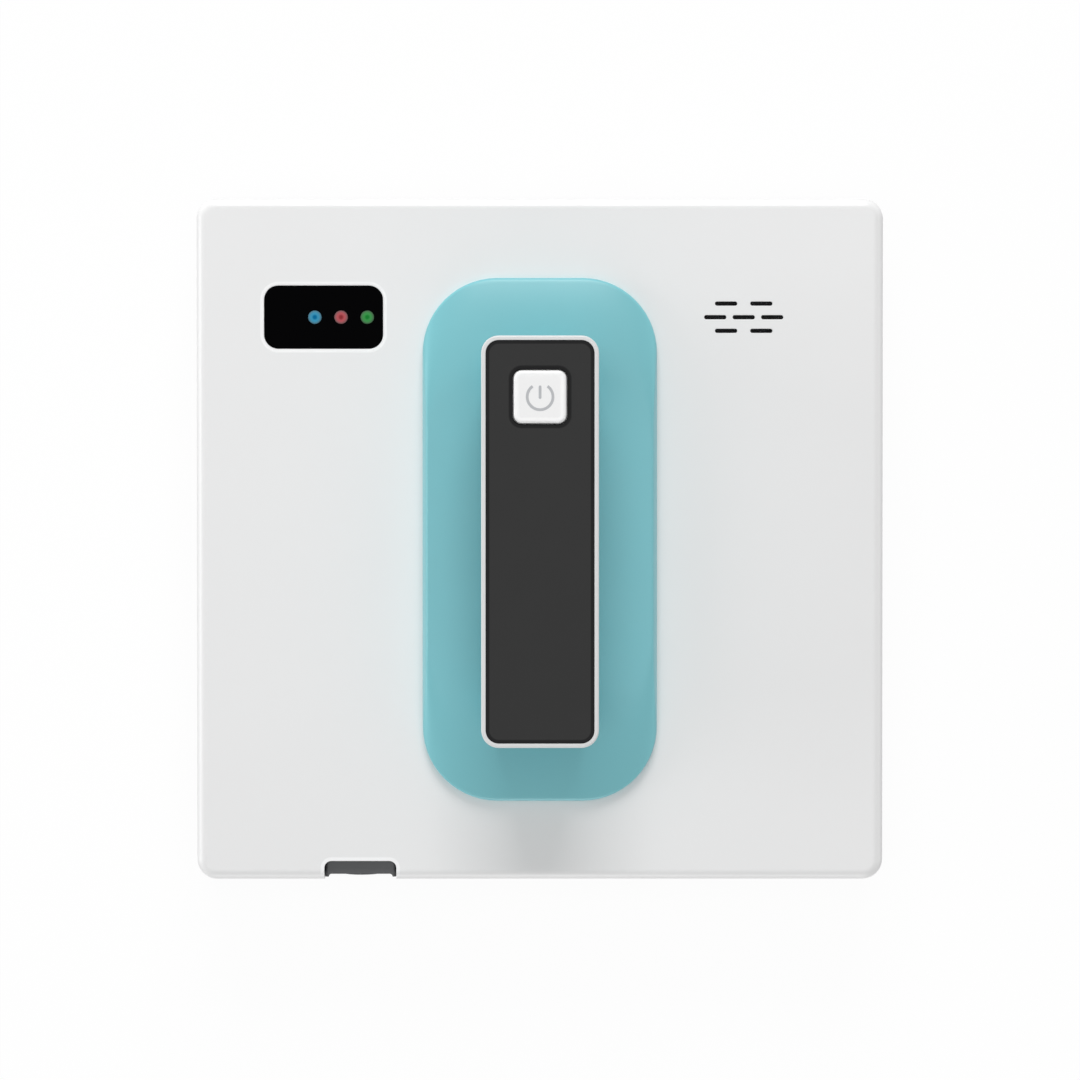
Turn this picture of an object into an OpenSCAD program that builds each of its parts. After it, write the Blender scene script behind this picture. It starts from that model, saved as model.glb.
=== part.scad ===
// Window cleaning robot, lying on its cleaning face as it does on a flat pane.
// Millimetres. The origin is on the glass under the middle of the body, +Z points away from
// the glass, +Y towards the indicator end and +X to the right of someone facing the handle.

/* [Body] */
// Width of the body, across the tracks
body_w = 240; // [238:1:260]
// Length of the body, along the tracks
body_l = 238; // [236:1:260]
// Height of the flat top above the glass
body_h = 50; // [49:0.5:60]
// Corner radius of the body seen from above
body_r = 7; // [6:0.5:12]
// Radius of the rounded top edge
edge_r = 3.5; // [1.5:0.5:4.5]
// Thickness of the casing walls
wall = 2.5; // [2:0.1:3]

/* [Cleaning face] */
// Thickness of the microfibre pad
pad_t = 4.2; // [3.6:0.2:6]
// Width of the pad's band along the body's two ends
pad_band = 30; // [28:1:33]
// Distance from a track unit to the pad's inner edge
pad_clear = 12.4; // [8:0.2:14]
// Thickness of the hook strips that hold the pad
hook_t = 0.8; // [0.6:0.1:1.2]
// Travel of the four edge probes
probe_travel = 2; // [1:0.25:2.5]

/* [Raised base] */
// Width of the raised base round the handle
base_w = 81.7; // [76:0.1:96]
// Length of the raised base
base_l = 182.4; // [174:0.2:196]
// Corner radius of the raised base
base_r = 26; // [18:0.2:34]
// Height of the raised base above the flat top
base_h = 9.2; // [7:0.2:12]

/* [Handle] */
// Width of the handle's cap
handle_w = 40; // [38:0.5:46]
// Length of the handle's cap
handle_l = 140; // [134:1:150]
// Corner radius of the handle's cap
handle_r = 6; // [5:0.5:9]
// Height of the finger gap under the grip
finger_gap = 23.8; // [20:0.2:32]
// Thickness of a leg, along the handle
leg_t = 16; // [14:0.5:20]
// Side of the square power button
button_w = 18; // [16:0.5:20]
// Travel of the power button
button_travel = 0.8; // [0.4:0.1:1]

/* [Tracks] */
// Width of a track belt
belt_w = 20; // [17:0.5:22]
// Distance between the two wheels of one track
axle_span = 112; // [106:1:116]
// Radius of a wheel's drum
drum_r = 11; // [10.4:0.1:12]
// Radius of the steel axles
axle_r = 2; // [1.5:0.1:2.5]

/* [Suction fan] */
// Outer radius of the fan's volute
volute_r = 40; // [36:0.5:41]
// Radius of the impeller
impeller_r = 33; // [26:0.5:34]
// Blades on the impeller
blade_count = 11; // [7:1:15]

/* [Hidden] */
$fn = 64;

// Clearances and small overruns
fit = 0.2;          // gap round a piece that is set into another
snug = 0.03;        // gap round a pressed or glued piece
run = 0.05;         // radial gap round a turning shaft
touch = 0.1;        // gap between pieces that meet but are not joined
over = 1;           // overrun of a cut past the face that it opens
film = 0.01;        // thickness of the slices that a blended block is hulled from
sink = 0.5;         // depth by which a boss is rooted in the wall that carries it

// Screws, all of one size
screw_r = 1.25;
screw_l = 9;
screw_hole_r = 1.6;
pilot_r = 1.3;
head_r = 2.5;
head_t = 1.6;
head_hole_r = 2.9;
socket_r = 0.9;     // cross recess in a screw's head
socket_t = 0.9;
post_r = 3.5;

// Track units. The left one is built here, and the right one is the same turned half round
belt_gap = 0.06;
belt_t = 1.3;
tread_h = 1.1;
tread_w = 2.2;
belt_in_r = drum_r + belt_gap;
belt_r = belt_in_r + belt_t;
tread_r = belt_r + tread_h;
wheel_z = tread_r;
axle_y = axle_span / 2;
drum_side = 0.3;
rim_h = 1.3;
rim_t = 1;
wheel_half = belt_w / 2 + drum_side + rim_t;
web_t = 5;
web_r = drum_r - 2;
hub_r = 4.5;
gear_w = 5;
gear_module = 0.7;
gear_teeth = 32;
pinion_teeth = 16;
pressure_angle = 20;
addendum = 0.9;
dedendum = 1.25;
backlash = 0.2;
flank_steps = 4;
gear_pitch_r = gear_module * gear_teeth / 2;
pinion_pitch_r = gear_module * pinion_teeth / 2;
pinion_tip_r = pinion_pitch_r + gear_module * addendum;
half_turn = 180;
pinion_side = 40;   // direction from the drive axle to the pinion, above the horizontal
mesh_l = gear_pitch_r + pinion_pitch_r;
pinion_y = axle_y + mesh_l * cos(pinion_side);
pinion_z = wheel_z + mesh_l * sin(pinion_side);
side_gap = 1;
tunnel_wall = 2;
tunnel_end = 1.5;
tunnel_out = wheel_half + side_gap;             // inner face of the outboard wall
tunnel_in = wheel_half + gear_w + side_gap;     // inner face of the inboard wall
tunnel_rear = axle_y + tread_r + tunnel_end;
tunnel_front = pinion_y + pinion_tip_r + tunnel_end;
tunnel_top = pinion_z + pinion_tip_r + side_gap;
tunnel_w = tunnel_out + tunnel_in;
tunnel_mid = (tunnel_in - tunnel_out) / 2;
tunnel_l = tunnel_rear + tunnel_front;
tunnel_mid_y = (tunnel_front - tunnel_rear) / 2;
volute_gap = 2;
track_x = volute_r + volute_gap + tunnel_in + tunnel_wall;
unit_out_x = track_x + tunnel_out + tunnel_wall;   // outer face of a track unit
unit_top = tunnel_top + tunnel_wall;
tab_l = 8;
tab_w = 14;
tab_t = 2;
rail_half = 30;
rail_t = 3;
rail_gap = 0.7;
shaft_r = 1.5;
shaft_l = 7;

// Heights of the lower casing
floor_z = pad_t + hook_t;
floor_t = 2.5;
floor_top = floor_z + floor_t;
skirt_h = 6;
skirt_in = 1;       // set back of the skirt from the cover's wall
seam_z = floor_z + skirt_h;
skirt_w = body_w - 2 * skirt_in;
skirt_l = body_l - 2 * skirt_in;
skirt_r = body_r - skirt_in;
inner_w = body_w - 2 * wall;
inner_l = body_l - 2 * wall;
inner_r = body_r - wall;
ceiling_z = body_h - wall;
lip_t = 1.5;
lip_h = 3;
lip_w = inner_w - 2 * fit;
lip_l = inner_l - 2 * fit;
edge_steps = 4;

// Case screws go up through bosses of the floor into posts of the cover
boss_r = 5;
boss_h = 3;
boss_top = floor_top + boss_h;
seat_t = 3;         // floor left under a screw's head
case_screw_in_x = 38;   // from the body's side to the corner screws
case_screw_in_y = 20;
case_screw_x = body_w / 2 - case_screw_in_x;
case_screw_y = body_l / 2 - case_screw_in_y;
mid_screw_y = 80;
case_screw_places = [
    [case_screw_x, case_screw_y], [-case_screw_x, case_screw_y],
    [case_screw_x, -case_screw_y], [-case_screw_x, -case_screw_y],
    [0, mid_screw_y], [0, -mid_screw_y],
];

// Cleaning pad and its hook strips
pad_in = 2;         // set back of the pad from the body's side
pad_w = body_w - 2 * pad_in;
pad_l = body_l - 2 * pad_in;
pad_r = body_r - 1;
pad_inner_w = 2 * (unit_out_x + pad_clear);
pad_inner_l = pad_l - 2 * pad_band;
pad_inner_r = 10;
strip_share = 0.6;  // width of a hook strip
strip_end = 42;     // distance from a strip's end to the pad's corner

// Raised base: inset of each layer across and along the base, and its height, as shares
base_band_h = 2.4;  // upright band at the foot of the base
base_inset_w = 8;  // inset of the top layer across the base
base_ramp = 34;     // inset of the top layer along the base
base_wall = 2.5;
base_layer_shares = [
    [0, 0, 0], [0.02, 0.015, 0.12], [0.06, 0.05, 0.24], [0.13, 0.12, 0.38], [0.24, 0.25, 0.56],
    [0.4, 0.42, 0.75], [0.64, 0.66, 0.91], [1, 1, 1],
];
base_top_z = body_h + base_h;
base_screw_x = 30;
base_screw_y = 58;

// Handle
grip_z = base_top_z + finger_gap;   // underside of the grip
grip_floor_t = 2.5;
grip_side_h = 7;                    // height of the grip's lower half
cap_z = grip_z + grip_side_h;       // seam between the grip's halves
cap_h = 8;
cap_wall = 2.3;
cap_top_t = 2;
inlay_t = 1.2;
handle_top = cap_z + cap_h;
rim_w = 1.5;                        // bright rim round the inlay
bridge_in = 1.5;                    // set back of the lower half from the cap
bridge_w = handle_w - 2 * bridge_in;
bridge_l = handle_l - 2 * bridge_in;
bridge_r = handle_r - bridge_in;
bridge_wall = 2.3;
grip_edge_r = 5;                    // rounded lower edge of the grip
tongue_t = 1.3;
tongue_h = 2;
tongue_in = bridge_wall - tongue_t;
leg_in = 3;                         // set back of the legs from the cap's sides and ends
leg_w = handle_w - 2 * leg_in;
leg_y = handle_l / 2 - leg_in - leg_t / 2;
leg_r = 4;
leg_fillet_r = 9;
wire_w = 8;
wire_t = 7;
leg_screw_x = 11;
leg_pilot_l = 14;
cap_post_r = 3;
cap_pilot_l = 4.5;
cap_boss_h = 2.5;
cap_boss_r = 4;
cap_seat_t = 2.4;
cap_post_z = grip_z + grip_floor_t + cap_boss_h + touch;
cap_screw_l = 6.2;
cap_screw_shares = [-0.27, -0.065, 0.14];
cap_ceiling_z = handle_top - inlay_t - cap_top_t;
inlay_r = handle_r - rim_w;
inlay_gap = snug;

// Power button, its switch and board
button_y = 49.2;
button_r = 2.8;
button_gap = 0.3;
button_proud = 0.9;
button_edge_r = 1.1;
flange_t = 1;
flange_w = 1.2;     // width of the flange that holds the button in
flange_z = cap_ceiling_z - button_gap - flange_t;
icon_r = 5;
icon_line = 1.1;
icon_bar_top = 4.1;
icon_bar_foot = -0.4;
icon_gap_w = 5.6;   // width of the break in the ring
icon_depth = 0.3;
board_t = 1.6;
switch_board_w = 30;
switch_board_l = 30;
switch_board_z = grip_z + grip_floor_t + 1.5;
switch_w = 6.2;
switch_bore_r = 1.9;
plunger_r = 1.75;
plunger_z = flange_z - touch;
plunger_l = 3.4;
switch_z = switch_board_z + board_t;
switch_h = flange_z - button_travel - 2 * fit - switch_z;
switch_floor_t = 0.4;
rib_r = 2;
rib_in = 3.5;       // distance from a board's edge to its rib

// Indicator window, light pipes and board
window_in_x = 44.5;                 // from the body's side to the window's middle
window_in_y = 41.4;
window_x = window_in_x - body_w / 2;
window_y = body_l / 2 - window_in_y;
window_w = 41.5;
window_l = 22;
window_r = 5;
window_t = 1.6;
window_ledge = 2;
light_pitch = 9.15;
light_in = 6.1;                     // from the window's middle to the middle light
light_x = window_x + light_in;
light_r = 2.35;
light_web_w = 2;    // width of the web that joins the three light pipes
light_web_t = 1.4;
indicator_gap_share = 0.42;         // of the height over the track units
indicator_gap = indicator_gap_share * (ceiling_z - unit_top);
indicator_screw_share = 0.58;       // of that gap, entered by the board's screws
indicator_screw_l = board_t + indicator_screw_share * indicator_gap;
indicator_board_w = 52;
indicator_board_l = 15;
indicator_board_z = ceiling_z - indicator_gap - board_t;
led_w = 3;
led_h = 1;
receiver_w = 7;
receiver_l = 6;
receiver_share = 0.78;              // height of the receiver in the gap over the board
receiver_h = receiver_share * indicator_gap;
receiver_in = 11;                   // from the window's middle to the receiver
receiver_x = window_x - receiver_in;
indicator_post_r = 2.4;
indicator_post_x = 22.9;
board_pilot_r = 0.95;
board_screw_r = 0.9;
board_screw_l = 5;
board_head_r = 1.8;
board_head_t = 1.2;

// Speaker behind seven slots
speaker_in_x = 48.8;
speaker_x = body_w / 2 - speaker_in_x;
speaker_y = window_y;
speaker_room = ceiling_z - unit_top;
frame_share = 0.215;    // heights of the speaker's frame, basket and magnet in that room
basket_share = 0.285;
magnet_share = 0.18;
speaker_r = 14;
speaker_ring_t = 1.5;
speaker_ring_h = 5;
mesh_t = 0.5;
basket_r = 11;
basket_h = basket_share * speaker_room;
frame_h = frame_share * speaker_room;
magnet_r = 7;
magnet_h = magnet_share * speaker_room;
slot_w = 7.8;
slot_t = 1.5;
slot_pitch = 9.95;
slot_side_pitch = 12.3;
slot_row = 4.75;

// Power inlet in its notch
notch_in_x = 57.2;  // from the body's side to the notch's middle
notch_x = notch_in_x - body_w / 2;
notch_w = 25.2;
notch_d = 6.5;
notch_r = 2.5;
notch_z = 21.8;
inlet_in = 1.75;    // set back of the inlet's face from the body's side
inlet_drop = 3;     // drop of the inlet's top below the cover's
inlet_l = 18;
inlet_r = 2.2;
inlet_w = notch_w - 2 * fit;
inlet_z = notch_z + fit;
inlet_top = body_h - inlet_drop;
inlet_face = -body_l / 2 + inlet_in;
jack_z = inlet_z + (inlet_top - inlet_z) / 2;
jack_r = 2.8;
jack_depth = 10;
jack_pin_r = 1.05;
jack_pin_in = 0.8;  // set back of the pin's tip from the face
jack_pin_l = jack_depth - jack_pin_in;
jack_root_r = 1.7;  // thicker root of the pin, pressed into the housing
jack_root_l = 3.8;
collar_r = 6.2;
collar_in_r = 4.6;
collar_h = 1.2;
pedestal_in = 2;

// Vents of the fan's duct in the far side wall
vent_count = 6;
vent_w = 2.4;
vent_h = 12;
vent_z = 13;
vent_pitch = 4;

// Gearmotors
gearbox_r = 10;
gearbox_l = 12;
can_r = 8.2;
can_l = 17;
terminal_w = 1.6;
terminal_t = 0.8;
terminal_l = 4;
terminal_pitch = 8;

// Suction fan
intake_r = 24;
grille_ring = 1.6;
grille_gap = 3;
grille_rim = 2.2;   // width of the grille's outer ring
grille_spokes = 6;
grille_hub_r = 5;
volute_wall = 2;
volute_h = 19.5;
volute_base_z = floor_top;
volute_base_t = 2;
volute_z = volute_base_z + volute_base_t;
volute_top = volute_z + volute_h;
eye_r = 20;
duct_x = 26;
duct_w = 24;
duct_end = touch;
motor_r = 18;
motor_boss_r = 6;
motor_hole_r = 6.2;
fan_shaft_r = 2;
shaft_foot = 1.5;
motor_room = 2.2;   // room over the motor's shaft, under the raised base
motor_h = base_top_z - base_wall - motor_room - shaft_foot - volute_top;
disc_t = 1.5;
disc_gap = 2.5;     // from the impeller's disc to the volute's roof
disc_top = volute_top - volute_wall - disc_gap;
blade_h = 10;
blade_t = 1.4;
shaft_z = disc_top - disc_t - blade_h - shaft_foot;
shaft_top = volute_top + motor_h + shaft_foot;
blade_in_r = 14;
blade_in = 0.5;     // set back of a blade's tip from the disc's rim
blade_arc_r = 24;
fan_hub_r = 7;
opening_w = 60;
opening_l = 84;
opening_r = 12;

// Battery and main board
cell_r = 7;
cell_l = 50;
tray_wall = 1.4;
tray_h = 10;
tray_floor = 1.4;
cell_z = floor_top + tray_floor + cell_r + snug;
bay_w = inner_w / 2 - lip_t - unit_out_x - 2 * side_gap;   // room beside a track unit
cell_pitch = 2 * (cell_r + fit);
cell_columns = floor((bay_w - 2 * tray_wall) / cell_pitch);
tray_w = cell_columns * cell_pitch + 2 * tray_wall;
tray_l = 2 * cell_l + 3 * fit + 2 * tray_wall;
tray_x = inner_w / 2 - lip_t - side_gap - tray_w / 2;
main_board_share = 0.7;     // width of the main board in its bay
main_board_w = main_board_share * bay_w;
main_board_l = 102;
main_board_x = -tray_x;
main_post_h = 6;
main_post_r = 2.4;
main_board_z = floor_top + main_post_h;
chip_t = 1.2;
chip_places_share = [[0.06, 0.24], [-0.04, -0.1], [0.1, -0.3]];
chip_w = 10;
capacitor_r = 4;
capacitor_h = 12;
capacitor_share = 0.43;
connector_w = 5;
connector_l = 9;
connector_h = 6;
connector_in = 4.5;
connector_shares = [-0.4, -0.2, 0, 0.2];

// Edge probes at the four corners
probe_in = 20;
probe_x = body_w / 2 - probe_in;
probe_y = body_l / 2 - probe_in;
probe_r = 4;
probe_gap = 0.1;
probe_foot = 3;
collar_z = floor_z + probe_foot + probe_travel + touch;
probe_collar_r = 5.4;
probe_collar_t = 1.5;
probe_bore_r = 5.6;
probe_boss_r = 7.6;
probe_boss_h = 12;  // from the probe's collar to the top of its boss
probe_boss_top = collar_z + probe_boss_h;
stem_r = 2;
stem_hole_r = 2.3;
probe_cap_t = 3;
probe_plug_t = 2;
probe_switch_w = 12;
probe_switch_l = 6;
probe_switch_h = 6;
pad_hole_r = 6.5;
spring_r = 3.6;
wire_r = 0.4;
spring_turns = 4;
spring_sides = 6;
spring_rings = 8;   // rings to a turn
spring_foot = collar_z + probe_collar_t + wire_r + touch;
spring_head = probe_boss_top - probe_plug_t - wire_r - touch;
probe_places = [
    [-probe_x, probe_y], [probe_x, probe_y], [-probe_x, -probe_y], [probe_x, -probe_y],
];

// Flat rectangle with round corners, about the origin
module rounded(w, l, r) {
    square([w - 2 * r, l], center = true);
    square([w, l - 2 * r], center = true);
    for (x = [-1, 1], y = [-1, 1])
        translate([x * (w / 2 - r), y * (l / 2 - r)]) circle(r);
}

// Upright block with round corners, standing on the plane of its origin
module rounded_block(w, l, r, h) linear_extrude(h) rounded(w, l, r);

// Block with round corners and a rounded top edge
module soft_block(w, l, r, h, e) hull() {
    rounded_block(w, l, r, h - e, $fn = 32);
    for (i = [1 : edge_steps]) {
        turn = 90 * i / edge_steps;
        inset = e * (1 - cos(turn));
        translate([0, 0, h - e + e * sin(turn) - film])
            rounded_block(w - 2 * inset, l - 2 * inset, r - inset, film, $fn = 32);
    }
}

// Extrudes an outline drawn as seen from +X (its x along Y, its y along Z) from x0 towards +X
module along_x(x0, t) translate([x0, 0, 0]) rotate([90, 0, 90]) linear_extrude(t) children();

// A cylinder along X
module rod_x(x0, t, r) along_x(x0, t) circle(r);

// Screw with its head down: the head's seat is at z = 0 and the shank points up
module screw(r, l, big_r, big_t) difference() {
    union() {
        cylinder(h = l, r = r);
        translate([0, 0, -big_t]) cylinder(h = big_t, r = big_r);
    }
    translate([0, 0, -big_t - over]) for (turn = [0, 90]) rotate(turn)
        translate([-socket_r, -socket_r / 3, 0]) cube([2 * socket_r, 2 * socket_r / 3, over + socket_t]);
}

module case_screw() screw(screw_r, screw_l, head_r, head_t);

module board_screw() screw(board_screw_r, board_screw_l, board_head_r, board_head_t);

// Casing

module mid_notch() translate([notch_x, -body_l / 2, 0])
    rounded(notch_w, 2 * notch_d, notch_r);

module slots() for (row = [-1, 0, 1], i = [-1, 0, 1]) if (row == 0 || i != 0)
    translate([speaker_x + i * (row == 0 ? slot_pitch : slot_side_pitch / 2), speaker_y + row * slot_row])
        rounded(slot_w, slot_t, slot_t / 2 - film);

module vents() for (side = [-1, 1], i = [0 : vent_count - 1])
    translate([side * duct_x + (i - (vent_count - 1) / 2) * vent_pitch, 0, 0])
        translate([-vent_w / 2, inner_l / 2 - over, vent_z]) cube([vent_w, wall + 2 * over, vent_h]);

module top_cover() color("whitesmoke") difference() {
    union() {
        difference() {
            translate([0, 0, seam_z]) soft_block(body_w, body_l, body_r, body_h - seam_z, edge_r);
            translate([0, 0, seam_z - over])
                rounded_block(inner_w, inner_l, inner_r, ceiling_z - seam_z + over);
        }
        for (p = case_screw_places) translate([p[0], p[1], boss_top + touch])
            cylinder(h = ceiling_z - boss_top - touch + sink, r = post_r);
        for (x = [-1, 1]) translate([window_x + x * indicator_post_x, window_y, indicator_board_z + board_t])
            cylinder(h = indicator_gap + sink, r = indicator_post_r);
        translate([speaker_x, speaker_y, ceiling_z - speaker_ring_h]) difference() {
            cylinder(h = speaker_ring_h + sink, r = speaker_r + fit + speaker_ring_t);
            translate([0, 0, -over]) cylinder(h = speaker_ring_h + over, r = speaker_r + fit);
        }
    }
    for (p = case_screw_places) translate([p[0], p[1], boss_top])
        cylinder(h = screw_l, r = pilot_r);
    for (x = [-1, 1]) translate([window_x + x * indicator_post_x, window_y, indicator_board_z])
        cylinder(h = board_t + indicator_gap, r = board_pilot_r);
    translate([window_x, window_y, body_h - window_t])
        rounded_block(window_w + 2 * snug, window_l + 2 * snug, window_r, window_t + over);
    translate([window_x, window_y, ceiling_z - over])
        rounded_block(window_w - 2 * window_ledge, window_l - 2 * window_ledge,
            window_r - window_ledge, wall + 2 * over);
    translate([0, 0, ceiling_z - over]) linear_extrude(wall + 2 * over) slots();
    translate([0, 0, notch_z]) linear_extrude(body_h - notch_z + over) mid_notch();
    vents();
    translate([0, 0, ceiling_z - over]) rounded_block(opening_w, opening_l, opening_r, wall + 2 * over);
    for (y = [-1, 1]) translate([0, y * leg_y, ceiling_z - over]) {
        for (x = [-1, 1]) translate([x * leg_screw_x, 0, 0])
            cylinder(h = wall + 2 * over, r = screw_hole_r);
        translate([-wire_w / 2, -wire_t / 2, 0]) cube([wire_w, wire_t, wall + 2 * over]);
    }
    for (x = [-1, 1], y = [-1, 1]) translate([x * base_screw_x, y * base_screw_y, ceiling_z - over])
        cylinder(h = wall + 2 * over, r = screw_hole_r);
}

module chassis() color("dimgray") difference() {
    union() {
        translate([0, 0, floor_z]) rounded_block(skirt_w, skirt_l, skirt_r, floor_t);
        translate([0, 0, floor_z]) linear_extrude(skirt_h) difference() {
            rounded(skirt_w, skirt_l, skirt_r);
            rounded(skirt_w - 2 * wall, skirt_l - 2 * wall, skirt_r - wall);
        }
        translate([0, 0, floor_z]) linear_extrude(skirt_h + lip_h) difference() {
            rounded(lip_w, lip_l, inner_r - fit);
            rounded(lip_w - 2 * lip_t, lip_l - 2 * lip_t, inner_r - fit - lip_t);
        }
        for (p = case_screw_places) translate([p[0], p[1], floor_z])
            cylinder(h = boss_top - floor_z, r = boss_r);
        for (p = probe_places) translate([p[0], p[1], floor_z])
            cylinder(h = probe_boss_top - floor_z, r = probe_boss_r);
        for (p = main_post_places) translate([p[0], p[1], floor_z])
            cylinder(h = main_board_z - floor_z, r = main_post_r);
        translate([notch_x - inlet_w / 2 + pedestal_in, inlet_face + pedestal_in + inlet_in, floor_z])
            cube([inlet_w - 2 * pedestal_in, inlet_l - 2 * pedestal_in - inlet_in, inlet_z - floor_z]);
    }
    for (p = case_screw_places) translate([p[0], p[1], floor_z - over]) {
        cylinder(h = boss_top - floor_z + 2 * over, r = screw_hole_r);
        cylinder(h = boss_top - floor_z - seat_t + over, r = head_hole_r);
    }
    for (p = probe_places) translate([p[0], p[1], floor_z - over]) {
        cylinder(h = probe_boss_top - floor_z + 2 * over, r = probe_r + probe_gap);
        translate([0, 0, probe_foot + over]) cylinder(h = probe_boss_top - floor_z, r = probe_bore_r);
    }
    for (p = main_post_places) translate([p[0], p[1], floor_top])
        cylinder(h = main_post_h + over, r = board_pilot_r);
    for (turn = [0, 180]) rotate(turn) translate([-track_x, 0, 0]) {
        translate([tunnel_mid, tunnel_mid_y, floor_z - over])
            linear_extrude(floor_t + boss_h + over) square([
                tunnel_w + 2 * tunnel_wall + 2 * fit, tunnel_l + 2 * tunnel_wall + 2 * fit,
            ], center = true);
        for (p = tab_places) translate([p[0], p[1], floor_z + floor_t / 3])
            cylinder(h = floor_t, r = pilot_r);
    }
    translate([0, 0, floor_z - over]) cylinder(h = floor_t + 2 * over, r = intake_r);
}

// Raised base and handle

// The base's crown, its foot on z = 0, taken in by a wall
module crown(in) hull() for (s = base_layer_shares) {
    across = 2 * in + 2 * s[0] * base_inset_w;
    along = 2 * in + 2 * s[1] * base_ramp;
    rise = base_band_h + s[2] * (base_h - base_band_h) - in;
    linear_extrude(rise)
        rounded(base_w - across, base_l - along, base_r - in - s[0] * base_inset_w, $fn = 48);
}

module leg_section(grow) rounded(leg_w + 2 * grow, leg_t + 2 * grow, leg_r + grow);

module handle_base() color("mediumturquoise") difference() {
    union() {
        translate([0, 0, body_h]) difference() {
            crown(0);
            translate([0, 0, -film]) crown(base_wall);
        }
        intersection() {
            translate([0, 0, body_h]) crown(base_wall / 2);
            for (x = [-1, 1], y = [-1, 1]) translate([x * base_screw_x, y * base_screw_y, body_h])
                cylinder(h = base_h, r = post_r);
        }
    }
    for (y = [-1, 1]) translate([0, y * leg_y, body_h - over])
        linear_extrude(base_h + 2 * over) leg_section(fit);
    for (x = [-1, 1], y = [-1, 1]) translate([x * base_screw_x, y * base_screw_y, body_h - over])
        cylinder(h = over + base_h - base_wall, r = pilot_r);
}

// Half of the grip's cross section, with its round lower edges
module grip_section() {
    translate([-bridge_w / 2, grip_edge_r]) square([bridge_w, grip_side_h - grip_edge_r]);
    translate([-bridge_w / 2 + grip_edge_r, 0]) square([bridge_w - 2 * grip_edge_r, grip_side_h]);
    for (x = [-1, 1]) translate([x * (bridge_w / 2 - grip_edge_r), grip_edge_r]) circle(grip_edge_r);
}

// Concave corner between a leg and the grip, on the leg's inner side
module leg_corner() difference() {
    translate([-leg_fillet_r, -leg_fillet_r]) square([leg_fillet_r + sink, leg_fillet_r + sink]);
    translate([-leg_fillet_r, -leg_fillet_r]) circle(leg_fillet_r);
}

module handle_bridge() color("mediumturquoise") difference() {
    union() {
        intersection() {
            translate([0, bridge_l / 2, grip_z]) rotate([90, 0, 0]) linear_extrude(bridge_l) grip_section();
            translate([0, 0, grip_z - over])
                rounded_block(bridge_w, bridge_l, bridge_r, grip_side_h + over);
        }
        for (y = [-1, 1]) translate([0, y * leg_y, body_h])
            linear_extrude(grip_z - body_h + grip_edge_r) leg_section(0);
        along_x(-leg_w / 2 + leg_r, leg_w - 2 * leg_r) for (side = [0, 1]) mirror([side, 0])
            translate([leg_y - leg_t / 2, grip_z]) leg_corner();
        difference() {
            translate([0, 0, cap_z - sink])
                rounded_block(bridge_w - 2 * tongue_in, bridge_l - 2 * tongue_in, bridge_r - tongue_in,
                    tongue_h + sink);
            translate([0, 0, cap_z - sink - over])
                rounded_block(bridge_w - 2 * bridge_wall, bridge_l - 2 * bridge_wall,
                    bridge_r - bridge_wall, tongue_h + sink + 2 * over);
        }
    }
    difference() {
        translate([0, 0, grip_z + grip_floor_t])
            rounded_block(bridge_w - 2 * bridge_wall, bridge_l - 2 * bridge_wall,
                bridge_r - bridge_wall, grip_side_h);
        for (s = cap_screw_shares) translate([0, s * handle_l, grip_z])
            cylinder(h = grip_floor_t + cap_boss_h, r = cap_boss_r);
        for (p = switch_rib_places) translate([p[0], p[1], grip_z])
            cylinder(h = switch_board_z - grip_z, r = rib_r);
    }
    for (s = cap_screw_shares) translate([0, s * handle_l, grip_z - over]) {
        cylinder(h = over + grip_floor_t + cap_boss_h + over, r = screw_hole_r);
        cylinder(h = over + grip_floor_t + cap_boss_h - cap_seat_t, r = head_hole_r);
    }
    for (y = [-1, 1]) translate([0, y * leg_y, body_h - over]) {
        for (x = [-1, 1]) translate([x * leg_screw_x, 0, 0]) cylinder(h = leg_pilot_l + over, r = pilot_r);
        translate([-wire_w / 2, -wire_t / 2, 0])
            cube([wire_w, wire_t, y > 0 ? grip_z - body_h + grip_floor_t + 2 * over : leg_pilot_l + over]);
    }
    for (p = switch_rib_places) translate([p[0], p[1], grip_z + grip_floor_t / 2])
        cylinder(h = grip_side_h, r = board_pilot_r);
}

module handle_cap() color("white") difference() {
    union() {
        difference() {
            translate([0, 0, cap_z]) rounded_block(handle_w, handle_l, handle_r, cap_h);
            translate([0, 0, cap_z - over])
                rounded_block(handle_w - 2 * cap_wall, handle_l - 2 * cap_wall, handle_r - cap_wall,
                    cap_ceiling_z - cap_z + over);
        }
        for (s = cap_screw_shares) translate([0, s * handle_l, cap_post_z])
            cylinder(h = cap_ceiling_z - cap_post_z + sink, r = cap_post_r);
    }
    translate([0, 0, handle_top - inlay_t])
        rounded_block(handle_w - 2 * rim_w, handle_l - 2 * rim_w, inlay_r, inlay_t + over);
    for (s = cap_screw_shares) translate([0, s * handle_l, cap_post_z - over])
        cylinder(h = cap_pilot_l + over, r = pilot_r);
    translate([0, button_y, cap_ceiling_z - over])
        rounded_block(button_w + 2 * button_gap, button_w + 2 * button_gap, button_r + button_gap,
            cap_top_t + inlay_t + 2 * over);
}

module handle_inlay() color("darkslategray") difference() {
    translate([0, 0, handle_top - inlay_t])
        rounded_block(handle_w - 2 * rim_w - 2 * inlay_gap, handle_l - 2 * rim_w - 2 * inlay_gap,
            inlay_r - inlay_gap, inlay_t);
    translate([0, button_y, handle_top - inlay_t - over])
        rounded_block(button_w + 2 * button_gap, button_w + 2 * button_gap, button_r + button_gap,
            inlay_t + 2 * over);
}

// Power button and switch

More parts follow.
